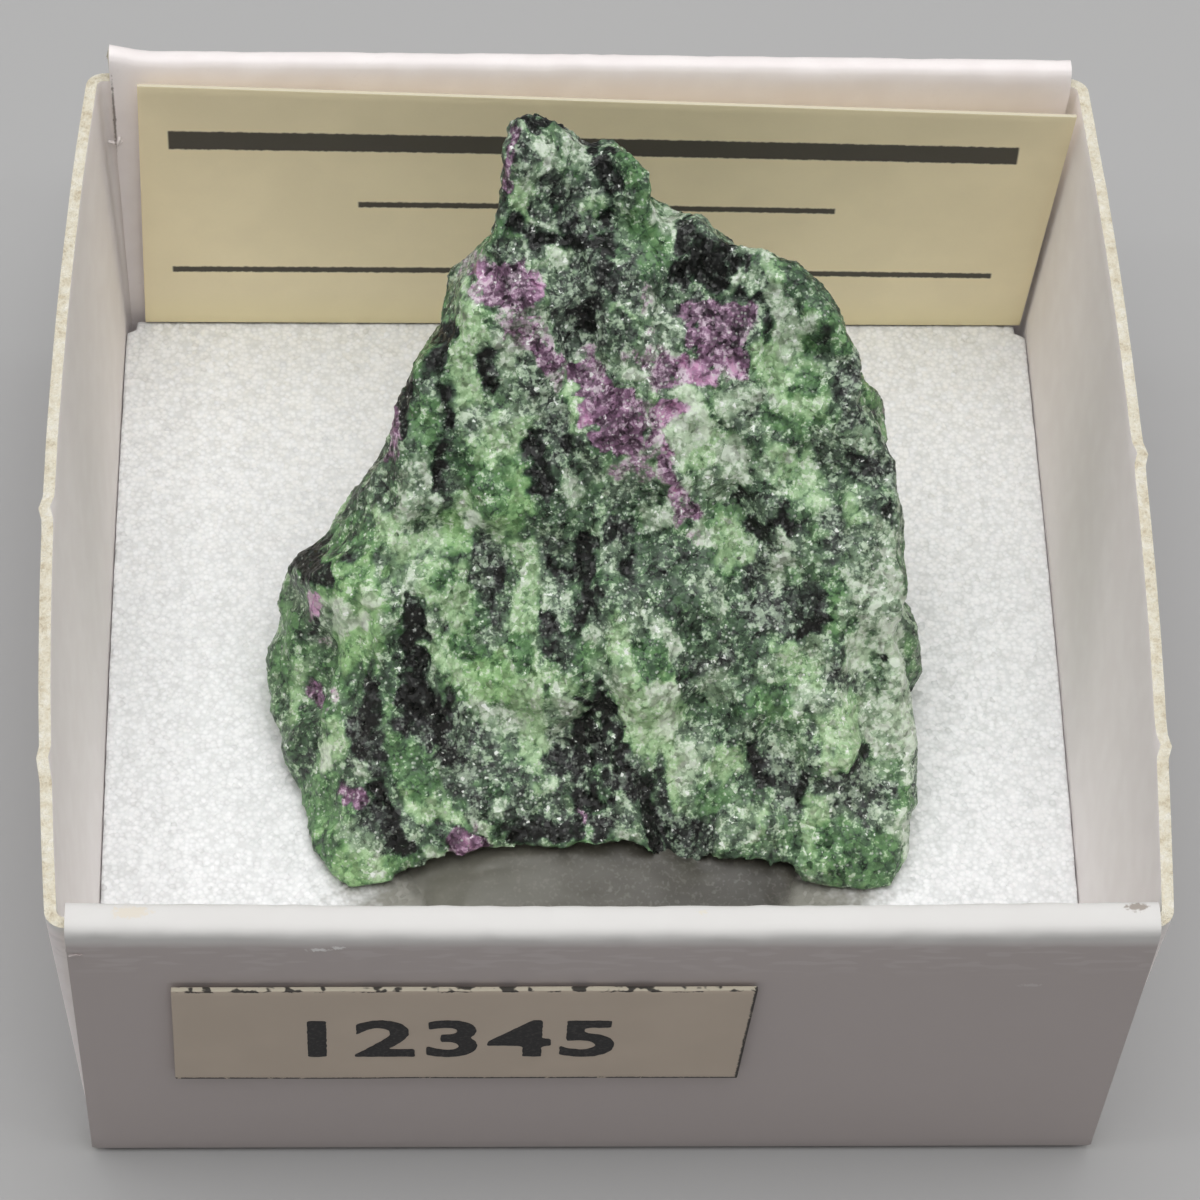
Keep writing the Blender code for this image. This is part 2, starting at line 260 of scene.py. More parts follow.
tray = {
    "card": 0.45, "edge": 0.06,
    "halfX": 19.7, "halfY": 20.0, "endHalf": 19.6,
    "frontTop": 18.3, "backTop": 18.8, "sideTop": 17.6,
    "fold": 0.5, "foldSteps": 4,
    "roll": 0.7, "rollSteps": 12, "footThick": 1.0,
    "squash": 0.86, "softDrop": (0.0, 1.5), "softShare": (1.0, 0.75),  # front and back roll
    "lean": 1.0, "frontSpread": (0.1, 0.5), "backSpread": (-0.1, 0.35),   # left and right ends
    "tuckIn": 0.4, "tuckShare": 0.85,                    # the inner layer's ends, at foot and top
    "sag": 0.26,                                         # of the front wall's middle
    "slope": (0.21, -5.0, 24.0),                         # of the back wall: drop, start, run
    "peak": (-19.6, 0.9, 0.42), "peakFoot": (16.5, 2.0),  # its torn end: place, width, height
    "sideLean": (0.8, 1.0), "sideBow": (0.83, 0.69),     # of the left and right sides
    "cornerRadius": 0.8, "cornerSteps": 6, "tuck": 1.8, "tuckSteps": 3,
    "columns": 72, "rows": 26,
    "calmFoot": 3.0, "ripple": 0.025, "rippleSizes": (5.0, 2.2), "sideRippleSize": 6.0,
    "crumple": 0.10, "crumpleSize": 1.3,
    "rimBand": 0.7, "ragged": 0.05, "raggedSize": 0.9,
    "nick": (0.16, 0.35),                                # depth and half width
    "nicks": ((-1, -1.7), (-1, -13.3), (1, 1.1), (1, -12.5)),  # side, place along y
    "tears": (  # raised torn bits of card: place, half sizes
        ((-19.45, 19.55, 14.3), (0.34, 0.08, 0.06)), ((-19.3, 19.5, 14.4), (0.07, 0.08, 0.26)),
        ((-19.6, -20.75, 16.6), (0.12, 0.12, 0.26)), ((-19.4, -20.9, 16.45), (0.24, 0.08, 0.07)),
    ),
    "fray": (0.14, 0.20, 0.07, 0.25),                    # amount and size, two times
    "marks": (  # spots, the last a painted shadow: place, stretch across x, y and z, radius, colour
        ((19.2, -19.9, 18.2), (1.0, 2.2, 1.0), 0.45, (0.30, 0.25, 0.21)),
        ((-17.1, -20.1, 18.2), (0.55, 1.6, 1.6), 0.55, (0.76, 0.70, 0.60)),
        ((-10.5, -21.0, 16.82), (0.9, 0.5, 3.2), 0.50, (0.97, 0.96, 0.95)),
        ((-9.9, -21.0, 16.98), (1.3, 0.5, 3.0), 0.45, (0.97, 0.96, 0.95)),
        ((15.7, -21.0, 14.0), (1.0, 0.3, 3.0), 0.5, (0.66, 0.62, 0.61)),
        ((3.4, -20.0, 18.2), (1.0, 1.5, 1.5), 0.35, (0.76, 0.72, 0.63)),
        ((-19.42, 19.2, 16.0), (10.0, 0.55, 0.33), 0.9, (0.15, 0.12, 0.10)),    # painted shadow in the slit at the left end of the back wall
    ),
    "markShare": 0.8,
    "white": (0.965, 0.91, 0.90), "grey": (0.93, 0.87, 0.86),
    # the last three colours are painted shade: on the front wall's outer face, where the front roll
    # turns down, and in crease-like patches below that roll
    "front": (0.550, 0.493, 0.482), "worn": (0.62, 0.64, 0.62), "creaseShade": (0.70, 0.655, 0.65),
}
near = 0.01  # mm, how close to a line an edge has to be to count as on it
diagonal = math.sqrt(0.5)


def frontFace(z, top):  # how far out the outer face of an end wall is
    return tray["halfY"] + tray["lean"] * z / top


def turnFold(side, acrossX, angle):  # fold the picked edges inwards along the foot of a wall
    foot = tray["fold"]
    inset = side * ((tray["halfX"] if acrossX else tray["halfY"]) - foot) * mm
    bpy.ops.mesh.spin(steps=tray["foldSteps"], angle=angle,
                      center=(inset, 0, foot * mm) if acrossX else (0, inset, foot * mm),
                      axis=(0, 1, 0) if acrossX else (1, 0, 0))


def addEndWall(name, side, top, spread):
    neck = top - tray["roll"]
    half = tray["endHalf"]
    foot = tray["fold"]
    wall = addGrid(name, tray["columns"], tray["rows"], (-half, foot), (half, neck))
    wall.rotation_euler = (math.radians(90), 0, 0)
    wall.location = (0, side * tray["halfY"] * mm, 0)
    bpy.ops.object.transform_apply()
    bpy.ops.object.mode_set(mode="EDIT")
    if side > 0:
        bpy.ops.mesh.select_all(action="SELECT")
        bpy.ops.mesh.flip_normals()
    pick("edges", lambda e: all(abs(v.co.z / mm - neck) < near for v in e.verts))
    rollAxis = (0, side * (tray["halfY"] - tray["roll"]) * mm, neck * mm)
    bpy.ops.mesh.spin(steps=tray["rollSteps"], angle=-side * math.pi, center=rollAxis,
                      axis=(1, 0, 0))
    for _ in range(tray["rows"]):                        # down again, as the inner layer
        drop = (neck - foot) / tray["rows"] * mm
        bpy.ops.mesh.extrude_region_move(TRANSFORM_OT_translate={"value": (0, 0, -drop)})
    pick("edges", lambda e: all(abs(v.co.z / mm - foot) < near for v in e.verts)
         and abs(middle(e).y) > tray["halfY"] - 0.1)
    turnFold(side, False, side * math.pi / 2)
    bpy.ops.object.mode_set(mode="OBJECT")

    def lean(x, y, z):
        out = side * y
        inner = out < tray["halfY"] - 2 * tray["roll"] + 0.05
        drop, narrow = [pair[1 if side > 0 else 0] for pair in (tray["softDrop"], tray["softShare"])]
        climb = np.clip((z - foot) / (neck - foot), 0, 1)
        rollOut, rollUp = out - tray["halfY"] + tray["roll"], np.maximum(z - neck, 0)
        onRoll = rollUp > 0
        behind = onRoll & (rollOut < 0)
        square = (np.abs(rollOut) ** 3 + rollUp ** 3) ** (1 / 3)
        pull = np.hypot(rollOut, rollUp) / np.maximum(square, 1e-6)       # a flatter top
        pull = np.where(onRoll & ((side < 0) | (rollOut > 0)), pull, 1)
        out = tray["halfY"] - tray["roll"] + rollOut * np.where(behind, narrow, 1) * pull
        z = np.where(onRoll, neck + tray["squash"] * rollUp * pull, z)
        z = np.where(behind, z - drop * (1 - rollUp / tray["roll"]), z)
        z = np.where(inner, foot + (neck - drop - foot) * climb, z)
        share = np.clip(z, 0, neck) / top
        footOut = tray["halfY"] - tray["footThick"]
        neckOut = tray["halfY"] + tray["lean"] * (neck - drop) / top - (1 + narrow) * tray["roll"]
        out = np.where(inner, footOut + (neckOut - footOut) * climb, out + tray["lean"] * share)
        widen = np.where(x < 0, spread[0], spread[1]) * share / half
        flare = 1 - (half - tray["halfX"] + foot) / half * np.clip(1 - z / foot, 0, 1)
        tuckIn = np.where(inner, tray["tuckIn"] * (1 - tray["tuckShare"] * climb) / half, 0)
        x = x * (1 + widen - tuckIn) * flare
        away = np.clip(z / tray["calmFoot"], 0, 1)
        wide, small = tray["rippleSizes"]
        ripple = waves(x, y, z, wide, seed=side * 4) + 0.5 * waves(x, y, z, small, seed=side * 7)
        out = out - tray["ripple"] * away * np.abs(ripple)
        crumple = np.clip((z - neck + 1.0) / 0.8, 0, 1) * np.clip((top - z) / 0.2, 0, 1)
        crumple = crumple * np.abs(waves(x, y, z, tray["crumpleSize"], seed=side * 9))
        out = out - tray["crumple"] * crumple
        z = z - 0.5 * tray["ripple"] * away * np.abs(ripple)
        if side < 0:
            return x, -out, z - tray["sag"] * z / top * np.clip(1 - (x / half) ** 2, 0, 1)
        slope, start, run = tray["slope"]
        z = z - slope * z / top * np.clip((x - start) / run, 0, 1)
        where, width, height = tray["peak"]
        low, rise = tray["peakFoot"]
        z = z + height * np.exp(-((x - where) / width) ** 2) * np.clip((z - low) / rise, 0, 1)
        return x, out, z

    reshape(wall, lean)
    return wall


def addSideWall(name, side):
    foot = tray["fold"]
    radius = tray["cornerRadius"]
    straight = tray["halfY"] - tray["fold"] - radius
    wall = addGrid(name, tray["columns"], tray["rows"], (-straight, foot),
                   (straight, tray["sideTop"]))
    wall.rotation_euler = (math.radians(90), 0, side * math.radians(90))
    wall.location = (side * tray["halfX"] * mm, 0, 0)
    bpy.ops.object.transform_apply()
    bpy.ops.object.mode_set(mode="EDIT")
    for end in (-1, 1):
        pick("edges", lambda e: all(abs(v.co.y / mm - end * straight) < near for v in e.verts))
        corner = (side * (tray["halfX"] - radius) * mm, end * straight * mm, 0)
        bpy.ops.mesh.spin(steps=tray["cornerSteps"], angle=-side * end * math.pi / 2,
                          center=corner, axis=(0, 0, 1))
        for _ in range(tray["tuckSteps"]):
            step = -side * tray["tuck"] / tray["tuckSteps"] * mm
            bpy.ops.mesh.extrude_region_move(TRANSFORM_OT_translate={"value": (step, 0, 0)})
    pick("edges", lambda e: all(abs(v.co.z / mm - foot) < near for v in e.verts)
         and abs(middle(e).x) > tray["halfX"] - near)
    turnFold(side, True, -side * math.pi / 2)
    bpy.ops.object.mode_set(mode="OBJECT")

    def lean(x, y, z):
        share = z / tray["sideTop"]
        which = 0 if side < 0 else 1
        longer = tray["lean"] * z / tray["frontTop"]
        flat = np.abs(y) <= straight + near
        y = np.where(flat, y * (straight + longer) / straight, y + np.sign(y) * longer)
        flare = 1 + (tray["halfY"] - foot - straight) / straight * np.clip(1 - z / foot, 0, 1)
        y = np.where(flat, y * flare, y)
        along = np.clip(np.abs(y) / (straight + longer), 0, 1)
        out = tray["sideLean"][which] * share
        out = out + tray["sideBow"][which] * share * (1 - along ** 2)
        away = np.clip(z / tray["calmFoot"], 0, 1) * np.clip((1 - along) * 8, 0, 1)
        ripple = waves(x, y, z, tray["sideRippleSize"], seed=side * 11)
        out = out + tray["ripple"] * away * ripple
        band = tray["rimBand"]
        rim = np.clip((z - tray["sideTop"] + band) / band, 0, 1)
        depth, width = tray["nick"]
        for where, place in tray["nicks"]:
            if where == side:
                out = out + depth * rim * np.exp(-((y - place) / width) ** 2)
        z = z + tray["ragged"] * rim * waves(x, y, z, tray["raggedSize"], seed=side * 3)
        return x + side * out, y, z

    reshape(wall, lean)
    return wall


def buildTray():
    inset = tray["fold"]
    floor = addGrid("cardTray", tray["columns"], tray["columns"],
                    (inset - tray["halfX"], inset - tray["halfY"]),
                    (tray["halfX"] - inset, tray["halfY"] - inset))
    editAll()
    bpy.ops.mesh.flip_normals()
    bpy.ops.object.mode_set(mode="OBJECT")
    walls = [addEndWall("frontWall", -1, tray["frontTop"], tray["frontSpread"]),
             addEndWall("backWall", 1, tray["backTop"], tray["backSpread"]),
             addSideWall("leftWall", -1), addSideWall("rightWall", 1)]
    begin(floor)
    for wall in walls:
        wall.select_set(True)
    bpy.ops.object.join()
    editAll()
    bpy.ops.mesh.remove_doubles(threshold=0.02 * mm)
    bpy.ops.object.mode_set(mode="OBJECT")
    paint(floor, cardMaterial(), rawCardMaterial())
    thicken(floor, tray["card"], tray["edge"], use_rim=True, material_offset_rim=1)
    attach(floor, "root")
    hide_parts("card_tray")
    print("card tray:", len(floor.data.polygons), "faces")


def buildTears():
    bits = []
    for place, half in tray["tears"]:
        begin()
        bpy.ops.mesh.primitive_uv_sphere_add(segments=16, ring_count=10, radius=1,
                                             location=[c * mm for c in place],
                                             scale=[h * mm for h in half])
        bits.append(bpy.context.object)
    begin(bits[0])
    for bit in bits:
        bit.select_set(True)
    bpy.ops.object.join()
    bpy.ops.object.transform_apply()
    piece = bpy.context.object
    piece.name = piece.data.name = "tornCard"

    def fray(x, y, z):
        coarse, coarseSize, fine, fineSize = tray["fray"]
        ragged = coarse * waves(x, y, z, coarseSize, 3.0)
        return x + ragged, y + fine * waves(x, y, z, fineSize, 5.0), z + ragged

    reshape(piece, fray)
    smooth(piece)
    paint(piece, bpy.data.materials["white card"])
    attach(piece, "root")
    print("torn bits:", len(piece.data.polygons), "faces")


def cardMaterial():
    material, place, shader = startMaterial("white card", IOR=1.35)
    mottle = place.noise(0.7, detail=1, roughness=0.6)
    fibre = place.noise(6.5, detail=1, roughness=0.7)
    colour = mottle.above(0.3, 0.75).blend(tray["grey"], tray["white"])
    colour = (0.7 * fibre.above(0.56, 0.74)).blend(colour, tray["grey"])
    depth, height = place.part(1), place.part(2)
    # painted shade: the outer face of the front wall takes the darker front colour
    frontWallShade = (depth + 0.055 * height).fade(-19.85, -19.55) * height.fade(16.9, 17.7)
    colour = frontWallShade.blend(colour, tray["front"])
    # painted shade where the front roll turns down to the front wall
    roll = height.above(16.8, 17.7) * depth.fade(-19.2, -18.9, top=0.6)
    colour = roll.blend(colour, tray["worn"])
    # painted shading below the front roll, in crease-like patches
    belowRollShade = height.within(15.2, 17.3, 0.7) * depth.fade(-20, -19, top=0.3)
    creaseShadePattern = place.vector("MULTIPLY", (0.5, 1.0, 2.2)).noise(1.8, detail=0)
    colour = (belowRollShade * creaseShadePattern.above(0.5, 0.66)).blend(colour, tray["creaseShade"])
    ragged = 0.7 * (fibre + mottle) - 0.7
    # spots on the card; the last is a painted shadow in a slit
    for centre, stretch, radius, tint in tray["marks"]:
        away = place.distance(centre, stretch) + ragged
        share = away.fade(0.5 * radius, radius, top=tray["markShare"])
        colour = share.blend(colour, tint)
    plug(shader, Base_Color=colour, Roughness=0.6 + 0.2 * mottle)
    return material


def rawCardMaterial():
    material, place, shader = startMaterial("raw card edge", Roughness=0.85, IOR=1.3)
    layers = place.noise(1.3, detail=4, roughness=0.7)
    fine = place.noise(6.0, detail=2, roughness=0.7)
    colour = (0.7 * layers + 0.3 * fine).ramp((
        (0.34, (0.56, 0.48, 0.35)), (0.44, (0.72, 0.66, 0.52)),
        (0.55, (0.80, 0.76, 0.64)), (0.66, (0.86, 0.83, 0.76))))
    plug(shader, Base_Color=colour, Normal=bump(fine, 0.12))
    return material


# The foam pad that lines the tray: pressed beads with a sparkling skin.

foam = {
    "halfX": 19.0, "halfY": 18.7, "low": 0.75, "top": 3.6, "edge": 0.12, "grain": 0.22,
    "swell": 0.035, "swellSizes": (3.5, 0.75, 0.42), "clear": 0.03, "trim": (0.03, 1.1),
    "fitted": 18.0,                                      # follows the side walls up to this y
    # a painted shadow of the stone on the foam around the glue, with glue soaked in: centre, shape,
    # colour
    "glueShadowCentre": (0.8, -10.6, 3.6), "glueShadowShape": (0.083, 0.15, 0.2), "glueAndShadow": (0.22, 0.215, 0.18),
    "colours": ((0.30, (0.78, 0.795, 0.80)), (0.50, (0.88, 0.895, 0.905)),
                (0.72, (0.965, 0.975, 0.985))),
}


def buildFoam():
    begin()
    size = (2 * foam["halfX"] * mm, 2 * foam["halfY"] * mm, (foam["top"] - foam["low"]) * mm)
    bpy.ops.mesh.primitive_cube_add(size=1, location=(0, 0, (foam["top"] + foam["low"]) / 2 * mm),
                                    scale=size)
    pad = bpy.context.object
    pad.name = pad.data.name = "foamPad"
    bpy.ops.object.transform_apply()
    applyModifier(pad, "BEVEL", width=foam["edge"] * mm, segments=3)
    applyModifier(pad, "REMESH", mode="VOXEL", voxel_size=foam["grain"] * mm)

    def settle(x, y, z):
        upper = np.clip(z - foam["low"], 0, 1)
        share = z / tray["sideTop"]
        broad, middling, small = foam["swellSizes"]
        rise = 0.7 * waves(x, y, z, broad) + waves(x, y, z, middling)
        rise = rise + 0.9 * waves(x, y, z, small, 9.0)
        trim = foam["trim"][0] * np.abs(waves(x, y, z, foam["trim"][1], seed=5.0))
        for which in (0, 1):                             # left, then right
            wall = tray["halfX"] - tray["card"] + tray["sideLean"][which] * share
            wall = wall + tray["sideBow"][which] * share * (1 - (y / tray["halfY"]) ** 2)
            close = np.abs(y) < foam["fitted"]
            reach = np.where(close, wall - foam["clear"] - trim, foam["halfX"])
            x = np.where(x * (which - 0.5) > 0, x * reach / foam["halfX"], x)
        return x, y, z + foam["swell"] * rise * upper

    reshape(pad, settle)
    smooth(pad)
    paint(pad, foamMaterial())
    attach(pad, "root")
    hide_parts("foam_pad")
    print("foam pad:", len(pad.data.polygons), "faces")


def foamMaterial():
    material, place, shader = startMaterial("white foam", IOR=1.35)
    bead = place.cells(4.8)
    core = 1 - bead.also("Distance").above(0.15, 0.70)
    haze = place.noise(1.6, detail=2, roughness=0.7)
    colour = (0.34 * core + 0.22 * bead.part(0) + 0.55 * haze).ramp(foam["colours"])
    away = place.distance(foam["glueShadowCentre"], foam["glueShadowShape"])
    glueAndShadow = (away + 0.35 * (haze - 0.5)).fade(0.72, 1.0, top=0.93)  # painted shadow of the stone, darkened also by glue soaked in
    colour = glueAndShadow.blend(colour, foam["glueAndShadow"])
    plug(shader, Base_Color=colour, Normal=tilted((bead, 0.6)), Roughness=0.2 + 0.5 * bead.part(1))
    return material


# The stone starts as a fine skin over its solid. Its broken face is a plane
# leaning back 45 degrees, and patches of mineral are placed across and up it.

stone = {
    "voxel": 0.255, "soften": 3, "fineSide": -0.05,
    "foot": 3.8, "hold": 0.8,                            # fixed at the foot, free above it
    "faceFoot": (0.0, -10.0, 4.0), "run": (0.04, 0.57, -0.82), "reach": 7.0,
    "seen": (0.041, -0.175),                             # how the view shifts what stands out
    "warpAcross": ((0.45, 0.6, 1.2, 3.0), (0.26, 1.0, 0.45, 9.0)),  # amount, squeeze, size, seed
    "warpUp": ((0.60, 0.6, 1.4, 31.0), (0.26, 1.0, 0.5, 19.0)),
    "tone": 0.45, "toneShares": (0.12, 0.10, 0.07), "backShares": (0.28, 0.25),
    "strokeShare": 0.85,
    "fan": 0.012, "fanMiddle": 15.0,
    "chip": (0.95, 1.6, 1.1), "chipRise": 0.10, "grain": (0.40, 0.52, 0.42), "grainRise": 0.07,
    "ridgeRise": 0.10, "roughRise": 0.05, "toneRise": 0.15, "sink": 0.06,
    "nudges": (  # on the face: across, up, half width and height, moves across and up
        (-4.0, 29.4, 1.1, 1.2, 0.45, 0.10), (3.9, 26.1, 1.4, 1.2, 0.0, 0.50),
        (6.2, 24.9, 1.0, 0.9, 0.0, 0.35), (-12.2, 11.3, 1.0, 1.3, -0.30, 0.0),
        (9.6, 20.9, 1.4, 1.3, 0.85, 0.0), (12.8, 13.5, 1.2, 1.8, -0.50, 0.0),
        (3.9, 2.6, 1.3, 2.3, 0.0, -1.60), (5.6, 1.7, 0.9, 1.4, 0.0, -0.50),
        (3.2, 2.0, 0.9, 2.0, 0.0, -0.85), (12.4, 1.2, 0.8, 0.9, 0.22, 0.0),
        (-1.6, 1.5, 1.4, 1.2, 0.0, -0.30), (-10.9, 12.7, 1.5, 1.2, -1.00, 0.10),
        (-10.2, 15.2, 0.9, 0.7, 0.30, -0.20), (-13.2, 7.1, 1.2, 1.6, 0.45, 0.0),
        (-10.5, 1.4, 1.4, 1.6, -0.60, -0.15), (-9.4, 0.0, 1.8, 0.9, -0.10, -0.30),
        (11.0, 0.0, 2.4, 0.9, 0.0, -0.38), (12.6, 6.5, 1.0, 2.4, 0.28, 0.0),
        (3.5, 3.6, 0.95, 1.1, 0.0, -1.45), (0.0, 1.6, 1.5, 0.9, 0.0, 0.30),
    ),
}

# How each mineral looks: tone from black to pale green, frosty grains, ruby, pink,
# and how far it spreads past its strokes. Each is laid over those before it.
minerals = {
    "deep": (0.37, 0.40, 0.0, 0.0, 0.0), "green": (0.54, 0.22, 0.0, 0.0, 0.0),
    "salted": (0.28, 0.95, 0.0, 0.0, 0.0), "light": (0.80, 0.45, 0.0, 0.0, 0.02),
    "leaf": (0.72, 0.05, 0.0, 0.0, 0.02),
    "frosted": (0.68, 1.15, 0.0, 0.0, 0.0), "pale": (0.98, 0.75, 0.0, 0.0, 0.0),
    "black": (0.03, 0.20, 0.0, 0.0, -0.07), "mauve": (0.56, 1.05, 0.55, 0.45, 0.0),
    "ruby": (0.22, 0.55, 1.0, 0.00, 0.04), "pink": (0.62, 0.60, 1.0, 0.95, 0.0),
    "white": (1.10, 1.40, 0.0, 0.0, 0.0), "dusk": (0.09, 0.70, 0.0, 0.0, 0.02),
    "shade": (0.27, 0.65, 0.0, 0.0, 0.03), "even": (0.43, 0.75, 0.0, 0.0, 0.03),
    "moss": (0.43, 0.12, 0.0, 0.0, 0.03), "lift": (0.60, 0.80, 0.0, 0.0, 0.03),
    "bright": (0.84, 0.90, 0.0, 0.0, 0.03), "plum": (0.28, 0.65, 0.80, -0.30, 0.02),
    "rose": (0.64, 0.95, 0.65, 0.45, 0.03),
}

